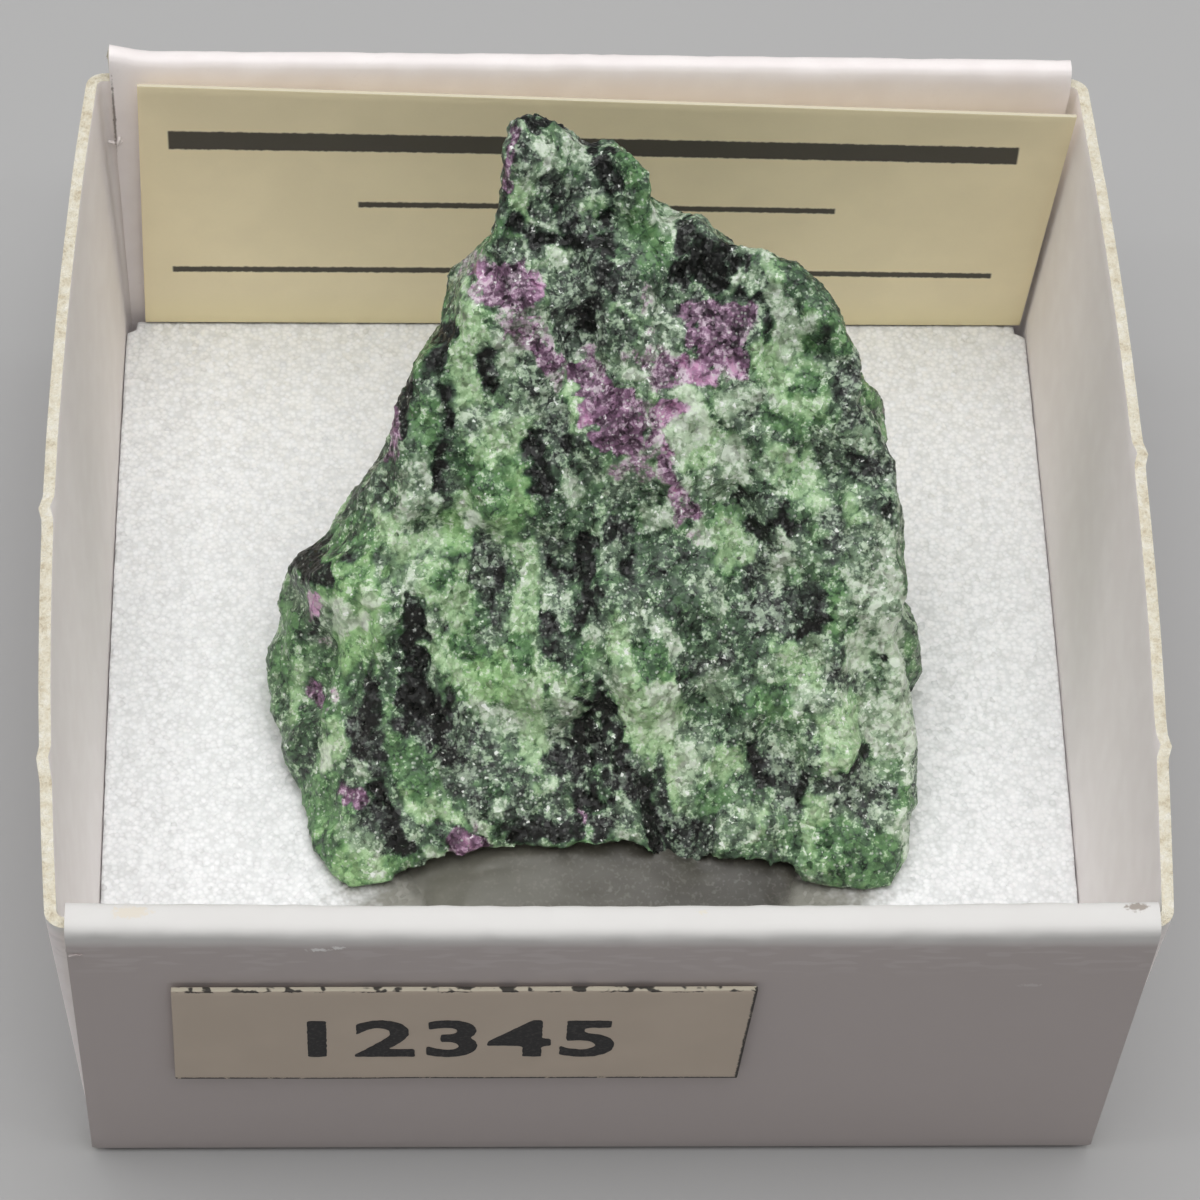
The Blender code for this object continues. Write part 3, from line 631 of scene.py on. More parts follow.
# Strokes of mineral on the broken face, in mm: from across and up, to across and up,
# and half the width
strokes = {
    "deep": (
        (3.0, 13.2, 4.3, 11.0, 1.3), (2.3, 15.5, 1.5, 14.7, 0.6), (-2.3, 15.0, -0.6, 14.8, 0.5),
        (6.6, 9.9, 5.6, 8.2, 0.9), (4.0, 7.0, 5.2, 6.2, 0.8), (-8.2, 8.8, -8.4, 8.0, 0.6),
        (-9.6, 8.5, -9.2, 8.4, 0.4), (-12.3, 5.8, -11.8, 4.0, 0.3), (7.5, 24.2, 9.2, 23.3, 0.5),
        (8.9, 19.7, 9.2, 19.3, 0.4), (11.2, 2.0, 11.6, 1.7, 0.5), (-7.6, 16.8, -8.0, 15.6, 0.4),
        (5.4, 11.5, 6.0, 10.8, 0.5), (-9.8, 4.6, -10.8, 3.0, 0.4), (-7.1, 1.4, -6.2, 1.8, 0.4),
    ),
    "green": (
        (1.0, 29.2, 1.4, 28.2, 0.5), (1.9, 27.0, 2.2, 25.0, 0.6), (-3.6, 26.1, -4.3, 25.2, 0.45),
        (-6.8, 18.8, -6.6, 18.2, 0.5), (-6.8, 21.4, -7.2, 20.3, 0.35), (-4.4, 17.0, -4.2, 15.2, 0.5),
        (-3.3, 16.5, -3.4, 14.8, 0.6), (8.2, 22.6, 9.5, 21.6, 0.6), (10.2, 21.0, 10.6, 19.8, 0.35),
        (6.7, 18.8, 7.3, 18.5, 0.4), (9.4, 12.0, 9.6, 10.6, 0.5), (-12.4, 10.5, -12.1, 7.0, 0.55),
        (-10.6, 8.6, -10.4, 6.6, 0.5), (-8.3, 1.2, -7.6, 0.9, 0.5), (-10.4, 3.0, -9.2, 0.4, 1.2),
        (-7.5, 5.3, -7.2, 4.4, 0.6), (9.8, 1.4, 11.6, 0.6, 1.1), (12.2, 3.9, 12.6, 3.0, 0.35),
        (2.2, 9.0, 2.4, 8.7, 0.4), (-0.4, 8.9, 0.3, 8.8, 0.4), (-8.9, 14.0, -8.9, 13.6, 0.5),
        (6.9, 7.2, 6.4, 7.0, 0.5), (-10.9, 13.9, -9.9, 14.4, 0.4), (4.4, 4.2, 4.8, 3.8, 0.4),
    ),
    "salted": (
        (-1.5, 27.7, -0.8, 27.5, 0.6), (-0.8, 24.8, -0.6, 21.5, 0.9), (-1.6, 18.6, -1.2, 17.5, 0.5),
        (6.4, 13.2, 7.0, 11.0, 0.8), (9.3, 14.6, 9.6, 13.6, 0.6), (4.4, 8.8, 5.2, 8.9, 0.5),
        (9.5, 8.7, 10.8, 8.2, 0.5), (3.9, 2.6, 4.6, 2.9, 0.6), (7.4, 4.6, 8.0, 3.2, 0.5),
        (9.6, 3.8, 11.2, 3.4, 0.7), (-5.5, 6.4, -4.4, 5.4, 0.6), (-5.4, 4.9, -5.0, 3.9, 0.4),
        (-1.3, 5.9, -1.0, 4.8, 0.5), (-4.3, 13.2, -4.2, 10.9, 0.6), (2.8, 22.0, 2.8, 20.6, 0.6),
        (-2.3, 19.8, -2.0, 18.8, 0.4), (9.4, 20.6, 10.2, 18.6, 0.45), (1.0, 24.5, 1.2, 23.4, 0.5),
        (10.2, 17.0, 11.6, 16.4, 0.55), (11.8, 17.6, 12.0, 16.2, 0.32),
        (6.2, 19.0, 5.2, 19.6, 0.4), (-4.6, 3.5, -4.5, 2.8, 0.35),
    ),
    "light": (
        (-5.0, 23.5, -5.2, 21.5, 0.45), (-5.3, 21.0, -4.9, 19.4, 0.42), (-4.7, 22.0, -4.7, 21.7, 0.3),
        (-4.5, 18.1, -3.8, 17.4, 0.6), (-2.8, 18.1, -2.8, 17.8, 0.3), (-0.7, 20.3, -0.7, 18.3, 0.3),
        (-2.8, 27.3, -2.7, 27.0, 0.45), (-0.3, 26.9, -0.1, 26.6, 0.4), (0.6, 27.1, 0.6, 26.9, 0.3),
        (1.0, 22.6, 1.0, 22.2, 0.5), (7.2, 22.0, 8.0, 21.6, 0.6), (6.9, 21.4, 7.3, 19.5, 0.5),
        (8.2, 20.5, 8.3, 19.2, 0.45), (3.6, 18.0, 4.7, 17.4, 0.8), (7.3, 16.9, 8.6, 16.6, 0.6),
        (8.2, 15.8, 8.9, 15.4, 0.4), (10.2, 15.2, 10.3, 14.6, 0.35),
        (-8.3, 14.5, -8.3, 14.2, 0.5), (-7.5, 13.6, -5.5, 13.7, 0.42), (-6.5, 12.6, -5.4, 12.5, 0.4),
        (-6.2, 11.8, -5.3, 10.8, 0.55), (-6.2, 9.4, -5.4, 9.0, 0.6), (-5.4, 15.2, -5.5, 14.8, 0.42),
        (-3.8, 14.3, -3.8, 14.1, 0.4), (-2.7, 13.0, -2.6, 10.6, 0.58), (-3.0, 8.9, -3.2, 7.0, 0.8),
        (-1.7, 8.3, -1.0, 7.6, 0.52), (-5.2, 8.4, -4.6, 8.0, 0.5), (-11.7, 12.7, -11.7, 12.3, 0.3),
        (-11.7, 8.6, -11.5, 7.2, 0.25), (-10.1, 6.3, -10.0, 5.4, 0.4), (-12.1, 7.2, -12.0, 6.6, 0.28),
        (-6.6, 3.9, -6.0, 3.0, 0.6), (-5.7, 2.8, -5.5, 2.7, 0.4), (-2.6, 7.0, -2.4, 5.2, 0.5),
        (-2.8, 4.5, -2.7, 4.2, 0.4), (-2.3, 3.4, -2.0, 3.2, 0.45), (0.9, 10.7, 1.4, 10.6, 0.35),
        (1.5, 9.7, 2.5, 8.6, 0.85), (1.7, 7.6, 2.4, 5.0, 0.85), (2.7, 7.8, 3.1, 5.6, 0.75),
        (3.5, 5.0, 5.6, 5.0, 0.42), (7.4, 9.4, 7.6, 9.6, 0.35), (8.2, 8.9, 8.4, 8.2, 0.5),
        (5.4, 2.7, 6.4, 2.4, 0.5), (10.1, 6.9, 10.1, 5.4, 0.58), (9.6, 6.3, 9.6, 6.1, 0.45),
        (9.4, 4.9, 10.2, 4.7, 0.28), (8.7, 3.0, 8.9, 1.8, 0.4), (5.3, 13.9, 5.4, 12.8, 0.5),
        (4.4, 1.5, 4.9, 1.3, 0.3), (-8.8, 1.9, -8.6, 0.2, 0.35),
        (-3.8, 18.9, -3.8, 18.7, 0.25), (9.2, 1.7, 9.4, 0.9, 0.3), (6.6, 24.8, 6.9, 24.2, 0.35),
    ),
    "leaf": (
        (-9.4, 12.0, -9.3, 9.8, 1.1), (-2.9, 16.1, -3.2, 14.6, 0.45), (-10.1, 1.7, -9.6, 0.0, 0.45),
        (-6.0, 14.6, -5.4, 13.6, 0.4), (-4.4, 8.6, -3.6, 7.8, 0.5), (10.6, 20.8, 11.0, 19.6, 0.3),
    ),
    "frosted": (
        (-2.1, 29.2, -1.7, 28.8, 0.40), (-0.9, 29.3, -0.5, 29.2, 0.30), (-2.6, 28.2, -2.6, 28.0, 0.35),
        (-1.9, 26.5, -1.9, 26.1, 0.45), (-3.6, 21.6, -3.2, 20.8, 0.35), (2.8, 26.6, 3.1, 25.8, 0.4),
        (4.1, 26.2, 4.6, 26.3, 0.3), (6.0, 25.2, 6.5, 24.8, 0.4), (6.8, 23.3, 7.8, 22.6, 0.45),
        (5.6, 19.2, 6.4, 19.6, 0.45), (5.2, 17.3, 5.6, 16.6, 0.45), (-7.3, 12.3, -7.2, 11.7, 0.28),
        (-6.8, 16.6, -6.9, 15.0, 0.5), (-6.6, 10.4, -6.6, 10.1, 0.4), (-0.9, 16.3, -0.8, 15.6, 0.35),
        (-1.2, 11.4, -1.2, 11.1, 0.4), (0.9, 13.4, 0.9, 13.1, 0.35), (2.2, 14.6, 2.8, 14.9, 0.35),
        (4.7, 12.1, 5.0, 11.4, 0.38), (7.3, 12.4, 7.3, 12.2, 0.38), (11.5, 14.0, 12.0, 8.0, 0.65),
        (12.4, 6.2, 12.5, 4.5, 0.4), (10.4, 12.2, 11.2, 10.4, 0.6), (0.1, 10.3, 0.1, 10.0, 0.4),
        (2.6, 10.2, 3.1, 9.7, 0.4), (8.4, 7.6, 9.0, 7.4, 0.4), (11.4, 6.7, 11.6, 5.8, 0.5),
        (-9.1, 5.0, -9.0, 4.8, 0.32), (-4.2, 6.9, -3.2, 6.4, 0.45), (-3.7, 3.2, -3.7, 3.1, 0.3),
        (-0.6, 4.3, -0.6, 4.1, 0.33), (0.8, 4.5, 0.8, 4.3, 0.33), (1.2, 3.1, 1.2, 2.9, 0.3),
        (0.6, 2.4, 1.6, 2.0, 0.38), (11.8, 2.9, 11.8, 2.6, 0.3), (12.5, 2.4, 12.6, 0.8, 0.35),
        (7.0, 13.0, 7.6, 12.9, 0.3), (-2.9, 24.9, -3.3, 25.1, 0.3),
    ),
    "pale": (
        (3.6, 19.5, 4.1, 18.4, 0.55), (-9.2, 10.5, -9.2, 10.3, 0.3), (-9.0, 11.5, -9.0, 11.3, 0.3),
        (3.7, 4.0, 3.7, 3.7, 0.3),
        (-4.0, 2.3, -4.0, 1.8, 0.25), (-6.3, 1.1, -6.2, 1.1, 0.22), (-1.5, 4.4, -1.6, 4.1, 0.25),
        (-1.5, 24.9, -2.0, 24.5, 0.38), (2.9, 6.6, 3.0, 6.0, 0.4), (-10.6, 5.4, -10.4, 4.8, 0.16),
    ),
    "black": (
        (-2.8, 30.2, -1.9, 30.3, 0.5), (-0.4, 30.0, -0.2, 29.7, 0.35),
        (0.1, 28.9, 0.5, 27.4, 0.42), (0.4, 26.9, 0.3, 26.0, 0.22),
        (0.3, 25.4, 0.4, 23.8, 0.33), (-0.3, 23.0, -0.4, 22.1, 0.33), (-3.3, 26.3, -3.2, 26.1, 0.28),
        (-2.7, 25.8, -0.6, 25.6, 0.28), (-4.4, 21.0, -4.0, 20.2, 0.33), (-5.9, 22.0, -6.1, 20.5, 0.28),
        (-6.0, 19.5, -5.7, 18.2, 0.22), (-7.4, 20.0, -7.8, 18.0, 0.26), (-2.4, 17.8, -2.1, 16.0, 0.28),
        (-1.0, 17.7, -0.9, 17.5, 0.3), (3.7, 25.6, 4.8, 25.2, 0.6), (4.0, 24.6, 5.4, 24.4, 0.45),
        (5.6, 23.6, 6.1, 23.2, 0.28), (3.4, 24.3, 3.3, 24.0, 0.25), (3.4, 22.9, 3.3, 22.6, 0.25),
        (6.6, 22.9, 6.8, 21.6, 0.11), (8.6, 22.0, 8.6, 21.8, 0.22), (-10.9, 13.3, -10.6, 12.4, 0.55),
        (-11.0, 10.6, -11.1, 10.1, 0.18), (-7.1, 11.2, -7.0, 9.6, 0.34), (-7.3, 9.4, -7.2, 8.4, 0.28),
        (-6.9, 8.6, -6.7, 7.4, 0.5), (-7.2, 7.4, -6.2, 6.2, 0.5), (-5.9, 17.0, -6.2, 15.9, 0.28),
        (-1.5, 13.5, -1.3, 12.8, 0.42), (-1.7, 10.7, -1.2, 9.0, 0.42), (-0.4, 13.6, -0.3, 11.0, 0.48),
        (-9.0, 7.9, -9.2, 5.5, 0.36), (-8.6, 4.0, -7.3, 1.4, 0.38), (-0.3, 7.0, -0.4, 5.0, 0.42),
        (-3.0, 2.2, -1.0, 2.2, 0.48), (-0.6, 3.3, 0.0, 3.1, 0.38), (1.4, 12.9, 1.5, 12.6, 0.28),
        (5.4, 15.6, 6.6, 15.3, 0.38), (6.2, 14.6, 6.6, 14.2, 0.3), (7.2, 14.8, 7.4, 14.4, 0.35),
        (7.9, 14.3, 7.9, 14.1, 0.25), (8.0, 11.6, 8.6, 10.9, 0.5), (8.4, 10.5, 8.4, 10.3, 0.35),
        (9.2, 17.3, 9.6, 16.7, 0.45), (10.5, 16.9, 11.0, 16.6, 0.25),
        (11.0, 15.2, 11.6, 14.9, 0.3), (11.4, 9.3, 11.4, 9.1, 0.2), (0.4, 8.1, 0.3, 7.4, 0.33),
        (3.8, 8.3, 3.8, 8.1, 0.28), (0.4, 7.6, 0.6, 6.2, 0.33), (1.0, 6.0, 1.4, 5.2, 0.33),
        (1.2, 5.0, 2.4, 3.6, 0.45), (2.4, 3.4, 2.7, 2.2, 0.45), (0.2, 3.8, 0.1, 3.0, 0.28),
        (6.3, 6.0, 6.5, 5.1, 0.3), (6.6, 4.9, 7.1, 3.9, 0.3), (8.3, 4.4, 8.3, 2.9, 0.18),
        (10.2, 4.5, 11.0, 5.1, 0.22), (-5.6, 7.6, -5.8, 7.0, 0.25), (-3.9, 12.6, -4.0, 11.8, 0.2),
    ),
    "mauve": (
        (-4.9, 24.9, -4.2, 23.9, 0.42), (-3.3, 23.0, -2.6, 21.6, 0.6), (-2.2, 21.2, -1.7, 20.4, 0.42),
        (-1.5, 20.0, -1.5, 19.8, 0.22), (1.9, 23.8, 2.0, 23.0, 0.28), (1.9, 21.0, 2.4, 20.3, 0.45),
        (2.7, 22.0, 2.8, 20.8, 0.4), (2.0, 17.4, 2.7, 17.5, 0.45), (2.9, 16.8, 3.2, 16.0, 0.38),
        (3.4, 15.2, 4.0, 14.8, 0.35), (-0.2, 20.9, -0.2, 20.7, 0.28), (-4.5, 2.5, -4.5, 2.3, 0.2),
        (5.0, 20.7, 5.6, 20.7, 0.4), (-10.4, 7.5, -10.4, 7.3, 0.22), (-11.0, 9.7, -11.0, 9.5, 0.2),
    ),
    "ruby": (
        (-3.9, 24.0, -3.0, 23.5, 0.6), (-3.0, 24.5, -2.9, 24.2, 0.35), (-2.3, 21.4, -1.9, 20.7, 0.25),
        (0.2, 19.9, 1.5, 18.1, 0.7), (0.5, 18.0, 1.6, 17.6, 0.5), (3.7, 23.2, 3.6, 22.4, 0.35),
        (4.5, 22.8, 4.6, 21.8, 0.6), (5.6, 22.5, 5.5, 21.1, 0.42), (3.9, 21.4, 5.2, 21.1, 0.4),
        (3.5, 15.3, 4.0, 14.9, 0.25), (-11.1, 7.9, -11.0, 7.2, 0.18), (-9.6, 3.7, -9.1, 3.4, 0.28),
        (-5.3, 1.7, -4.4, 1.5, 0.48), (-0.4, 2.6, -0.3, 2.4, 0.2), (-8.2, 18.8, -8.1, 17.2, 0.2),
        (-3.6, 29.6, -3.6, 27.6, 0.22), (-1.0, 20.4, -0.9, 19.9, 0.15), (2.8, 16.8, 2.9, 16.4, 0.2),
    ),
    "pink": (
        (-2.2, 24.3, -2.3, 23.7, 0.25), (-4.8, 24.4, -4.4, 24.0, 0.22), (-3.2, 21.5, -3.1, 21.3, 0.25),
        (-0.3, 19.0, -0.3, 18.8, 0.25), (3.1, 17.9, 3.3, 17.5, 0.24), (3.1, 15.8, 3.1, 15.6, 0.28),
        (4.2, 14.2, 4.4, 13.8, 0.3), (4.3, 22.2, 4.3, 22.0, 0.18), (3.7, 20.8, 3.9, 20.2, 0.36),
        (4.2, 20.2, 4.6, 20.4, 0.28), (2.8, 18.8, 3.0, 18.6, 0.42), (-10.9, 11.3, -10.8, 10.9, 0.24),
        (-5.1, 1.8, -4.9, 1.6, 0.22), (5.3, 20.9, 5.4, 20.7, 0.2),
    ),
    "white": (
        (-4.8, 14.4, -4.8, 14.3, 0.2), (7.4, 13.9, 7.7, 13.3, 0.14), (11.1, 13.3, 11.1, 13.2, 0.24),
        (5.4, 24.1, 5.4, 23.9, 0.2), (1.6, 20.4, 1.7, 20.3, 0.22), (-9.3, 10.2, -9.2, 10.1, 0.15),
        (-4.9, 23.6, -4.8, 23.6, 0.12), (-1.7, 10.9, -1.5, 11.2, 0.16),
    ),
    "dusk": (
        (3.2, 4.0, 3.9, 3.8, 0.42), (0.3, 2.4, 0.7, 2.2, 0.42), (-1.5, 4.7, -1.1, 4.5, 0.42),
        (0.9, 4.2, 1.3, 3.8, 0.38), (-8.7, 5.4, -8.5, 4.8, 0.36), (-1.5, 26.7, -1.3, 26.3, 0.36),
        (-8.7, 2.7, -8.5, 2.1, 0.40), (-9.5, 6.6, -9.5, 6.2, 0.32), (-7.2, 6.3, -6.8, 5.9, 0.40),
        (0.8, 13.9, 1.0, 13.7, 0.30), (0.4, 5.5, 0.4, 5.1, 0.30), (-5.9, 5.2, -5.7, 5.0, 0.30),
        (3.8, 23.7, 3.8, 23.5, 0.26), (-0.7, 4.3, -0.5, 4.1, 0.26),
    ),
    "shade": (
        (-1.8, 3.2, -1.6, 3.0, 0.34), (1.9, 11.3, 2.1, 11.1, 0.30), (1.1, 3.0, 1.3, 2.8, 0.26),
        (-2.3, 27.0, -2.1, 26.8, 0.30), (-3.2, 29.2, -3.2, 29.0, 0.26), (-2.9, 3.0, -2.7, 2.8, 0.32),
        (-3.9, 4.3, -3.7, 4.1, 0.32), (11.1, 2.8, 11.3, 2.6, 0.28), (-0.4, 26.4, -0.2, 26.2, 0.32),
        (-1.3, 11.3, -1.1, 11.1, 0.22), (3.9, 5.9, 4.1, 5.5, 0.30), (-4.5, 5.4, -4.3, 5.2, 0.30),
        (2.6, 4.6, 3.0, 4.4, 0.28), (-3.1, 29.4, -2.9, 29.2, 0.24), (-1.4, 2.8, -1.2, 2.6, 0.26),
        (3.3, 9.3, 3.5, 9.1, 0.26), (10.6, 14.1, 10.8, 13.9, 0.24),
        (-3.0, 28.9, -2.7, 28.5, 0.42), (0.9, 22.3, 1.1, 21.9, 0.45), (-2.9, 20.6, -2.7, 20.2, 0.32),
        (8.1, 11.6, 8.5, 11.4, 0.42), (5.9, 22.0, 6.1, 21.8, 0.24),
        (-3.6, 25.2, -3.2, 25.0, 0.30), (-2.9, 4.4, -2.7, 3.8, 0.38),
    ),
    "moss": (
        (-4.6, 11.1, -4.6, 10.7, 0.36), (-5.1, 9.6, -4.9, 9.4, 0.30), (-3.0, 9.6, -3.0, 9.0, 0.38),
        (-6.9, 4.5, -6.5, 4.1, 0.42), (8.2, 21.8, 8.4, 21.3, 0.32), (-7.9, 10.4, -7.9, 10.0, 0.28),
        (9.3, 1.8, 9.7, 1.4, 0.45), (2.2, 9.6, 2.4, 8.8, 0.48), (-10.0, 1.6, -10.2, 1.0, 0.36),
        (8.2, 20.1, 8.4, 19.9, 0.36), (7.7, 21.7, 8.1, 21.4, 0.30), (-6.2, 12.3, -6.0, 12.1, 0.30),
        (-5.3, 16.7, -5.1, 16.5, 0.24),
    ),
    "even": (
        (9.2, 17.2, 9.4, 16.8, 0.40), (6.4, 15.2, 6.8, 15.0, 0.42), (-1.7, 13.8, -1.4, 13.3, 0.38),
        (-6.5, 8.4, -6.5, 8.0, 0.26), (4.1, 25.9, 4.3, 25.9, 0.30), (0.6, 27.2, 0.6, 27.0, 0.22),
        (11.3, 3.0, 11.5, 2.6, 0.34), (3.9, 5.9, 4.1, 5.1, 0.45), (5.3, 2.8, 6.0, 2.5, 0.46),
        (1.6, 11.1, 1.8, 10.5, 0.40), (10.7, 13.6, 10.7, 13.0, 0.46), (-1.2, 9.5, -1.0, 9.1, 0.28),
        (5.9, 6.2, 6.1, 5.8, 0.36), (-0.2, 16.8, 0.0, 16.4, 0.34), (4.4, 12.1, 4.8, 11.7, 0.42),
        (-7.2, 16.1, -7.0, 15.7, 0.34), (-4.9, 18.7, -4.7, 18.3, 0.42), (0.0, 10.8, 0.0, 10.4, 0.24),
        (10.7, 15.4, 10.9, 15.2, 0.32), (-1.4, 11.5, -1.2, 11.1, 0.34), (-1.9, 24.5, -1.7, 24.3, 0.30),
        (2.9, 22.0, 3.1, 21.8, 0.30), (9.4, 7.8, 9.6, 7.4, 0.40), (10.4, 12.6, 10.6, 12.4, 0.34),
        (3.9, 6.0, 4.3, 5.3, 0.34), (3.9, 8.1, 3.8, 7.7, 0.28), (10.0, 17.5, 10.4, 17.3, 0.26),
        (1.0, 13.2, 1.0, 13.0, 0.20), (0.7, 6.6, 0.9, 6.4, 0.24), (8.7, 17.7, 8.9, 17.5, 0.26),
        (1.7, 4.9, 1.9, 4.7, 0.22), (5.4, 25.0, 5.6, 24.9, 0.22),
    ),
    "lift": (
        (6.0, 23.8, 6.2, 23.6, 0.32), (4.7, 8.1, 5.1, 7.7, 0.40), (4.7, 16.0, 4.9, 15.6, 0.36),
        (-4.1, 6.5, -3.9, 6.3, 0.30), (-1.3, 7.0, -1.1, 6.4, 0.42),
        (0.4, 8.7, 0.6, 8.3, 0.36), (8.8, 9.7, 9.0, 9.3, 0.42), (6.9, 8.6, 7.1, 8.4, 0.32),
        (10.6, 17.8, 10.8, 17.4, 0.36), (-9.4, 2.2, -8.9, 1.8, 0.32), (-8.1, 10.5, -8.1, 10.1, 0.28),
        (-10.7, 10.3, -10.7, 10.1, 0.26), (9.7, 11.1, 9.9, 10.9, 0.32), (11.1, 8.0, 11.3, 7.6, 0.28),
        (6.8, 16.8, 7.0, 16.6, 0.28),
    ),
    "bright": (
        (10.4, 9.5, 10.6, 8.7, 0.48), (3.5, 18.1, 3.7, 17.7, 0.40), (-10.2, 10.9, -10.0, 10.3, 0.36),
        (7.4, 21.9, 7.6, 21.5, 0.34), (4.2, 14.4, 4.5, 13.7, 0.28), (12.0, 6.8, 12.2, 6.2, 0.36),
        (4.9, 19.5, 5.1, 19.3, 0.30), (11.8, 10.4, 12.2, 8.4, 0.30),
        (3.7, 5.3, 4.0, 5.1, 0.26), (-3.5, 21.2, -3.3, 21.0, 0.26), (2.9, 8.0, 3.1, 7.8, 0.28),
        (-1.2, 7.4, -0.8, 6.9, 0.32), (2.4, 8.2, 2.8, 7.9, 0.30), (3.7, 16.3, 3.7, 16.1, 0.18),
    ),
    "plum": (
        (2.7, 20.7, 2.9, 20.3, 0.34), (4.3, 22.9, 4.9, 22.1, 0.40), (-3.3, 24.0, -3.0, 23.7, 0.28),
        (5.7, 22.2, 5.7, 21.9, 0.22),
    ),
    "rose": (
        (-4.8, 23.7, -4.8, 23.5, 0.24), (0.0, 20.6, 0.2, 20.2, 0.34), (1.3, 16.7, 1.7, 16.3, 0.38),
        (1.8, 18.8, 2.0, 18.4, 0.36), (-3.1, 22.0, -2.9, 21.6, 0.38), (3.3, 15.4, 3.5, 15.0, 0.30),
        (3.2, 20.2, 3.4, 20.0, 0.26), (2.0, 16.2, 2.2, 16.0, 0.26),
        (1.4, 17.3, 1.8, 17.0, 0.30),
    ),
}


def facePlaces(x, y, z):  # across, up and out of the broken face
    dy = y - stone["faceFoot"][1]
    dz = z - stone["faceFoot"][2]
    return x - stone["faceFoot"][0], (dy + dz) * diagonal, (dz - dy) * diagonal


def covered(across, up, ragged, stroke):  # 1 on a stroke of mineral, 0 clear of it
    startU, startV, endU, endV, half = stroke
    runU, runV = endU - startU, endV - startV
    along = (across - startU) * runU + (up - startV) * runV
    along = np.clip(along / max(runU * runU + runV * runV, 1e-9), 0, 1)
    away = np.hypot(across - startU - along * runU, up - startV - along * runV)
    share = np.clip(0.5 + (half - away + ragged * min(1.0, 2 * half)) / 0.3, 0, 1)
    return share * share * (3 - 2 * share)


def chips(u, v, w, size):  # height of flat chips with short slopes between them
    heights = []
    for a, b, c in zip(u / size[0], v / size[1], w / size[2]):
        place = Vector((a, b, c))
        distances, centres = noise.voronoi(place)
        levels = []
        for centre in centres[:2]:
            own = noise.cell_vector(centre * 17.3) - Vector((0.5, 0.5, 0.5))
            levels.append(own.z + 1.3 * own.dot(place - centre))
        share = 0.5 + 0.5 * min(1.0, (distances[1] - distances[0]) / 0.15)
        heights.append(levels[0] * share + levels[1] * (1 - share))
    return np.array(heights)


def warped(u, v, w, layers):
    total = 0
    for amount, squeeze, size, seed in layers:
        total = total + amount * waves(u, v * squeeze, w, size, seed)
    return total


def mineralFields(u, v, w):  # tone, frost, ruby and pink over the whole skin
    run = Vector(stone["run"])                           # how the face's patches go into the stone
    depth = np.maximum(0, w / (run.dot(Vector((0, -1, 1))) * diagonal))
    faceU = u - run.x * depth + warped(u, v, w, stone["warpAcross"])
    faceV = v - run.dot(Vector((0, 1, 1))) * diagonal * depth
    faceV = faceV + warped(u, v, w, stone["warpUp"])
    shown = np.clip(1.3 - depth / stone["reach"], 0, 1)
    back = 1 - shown
    broad = waves(u, v * 0.55, w, 2.6, 40.0)
    streak = waves(u, v * 0.35, w, 0.9, 50.0)
    small = waves(u, v * 0.7, w, 0.5, 60.0)
    ragged = 0.42 * waves(u, v * 0.8, w, 0.36, 45.0) + 0.25 * streak + 0.10
    shares = stone["toneShares"]
    tone = stone["tone"] + shares[0] * broad + shares[1] * streak + shares[2] * small
    tone = tone + back * (stone["backShares"][0] * broad + stone["backShares"][1] * streak)
    frost = 0.5 + 0.4 * waves(u, v, w, 2.2, 80.0) + 0.3 * waves(u, v, w, 0.7, 85.0)
    ruby = back * np.clip(2.2 * waves(u, v, w, 3.4, 70.0) - 0.55, 0, 1)
    pink = back * np.clip(0.3 + waves(u, v, w, 1.1, 75.0), 0, 1)
    for mineral, (ownTone, ownFrost, ownRuby, ownPink, reach) in minerals.items():
        for stroke in strokes[mineral]:
            here = covered(faceU, faceV, ragged + reach, stroke) * shown * stone["strokeShare"]
            tone = tone + (ownTone - tone) * here
            frost = frost + (ownFrost - frost) * here
            ruby = ruby + (ownRuby - ruby) * here
            pink = pink + (ownPink - pink) * here
    tone = tone + np.clip(0.3 + tone, 0, 1) * (0.05 * streak + 0.07 * small)
    return {"tone": tone, "ruby": ruby, "pink": pink, "frost": frost}


def skinRise(u, v, w, fields):  # relief: the pale minerals stand out, the black ones are pits
    fan = u * (1 + stone["fan"] * (v - stone["fanMiddle"]))
    rise = stone["ridgeRise"] * waves(fan, v * 0.30, w, 0.9, 90.0) - stone["sink"]
    rise += stone["chipRise"] * chips(fan, v, w, stone["chip"])
    rise += stone["grainRise"] * chips(fan, v, w, stone["grain"])
    ruby = np.clip(fields["ruby"], 0, 1)
    raised = np.clip(fields["tone"], 0, 1) * (1 - ruby) + 0.4 * ruby
    rise += stone["toneRise"] * (raised - stone["tone"])
    return rise + stone["roughRise"] * waves(u, v, w, 0.26, 95.0)


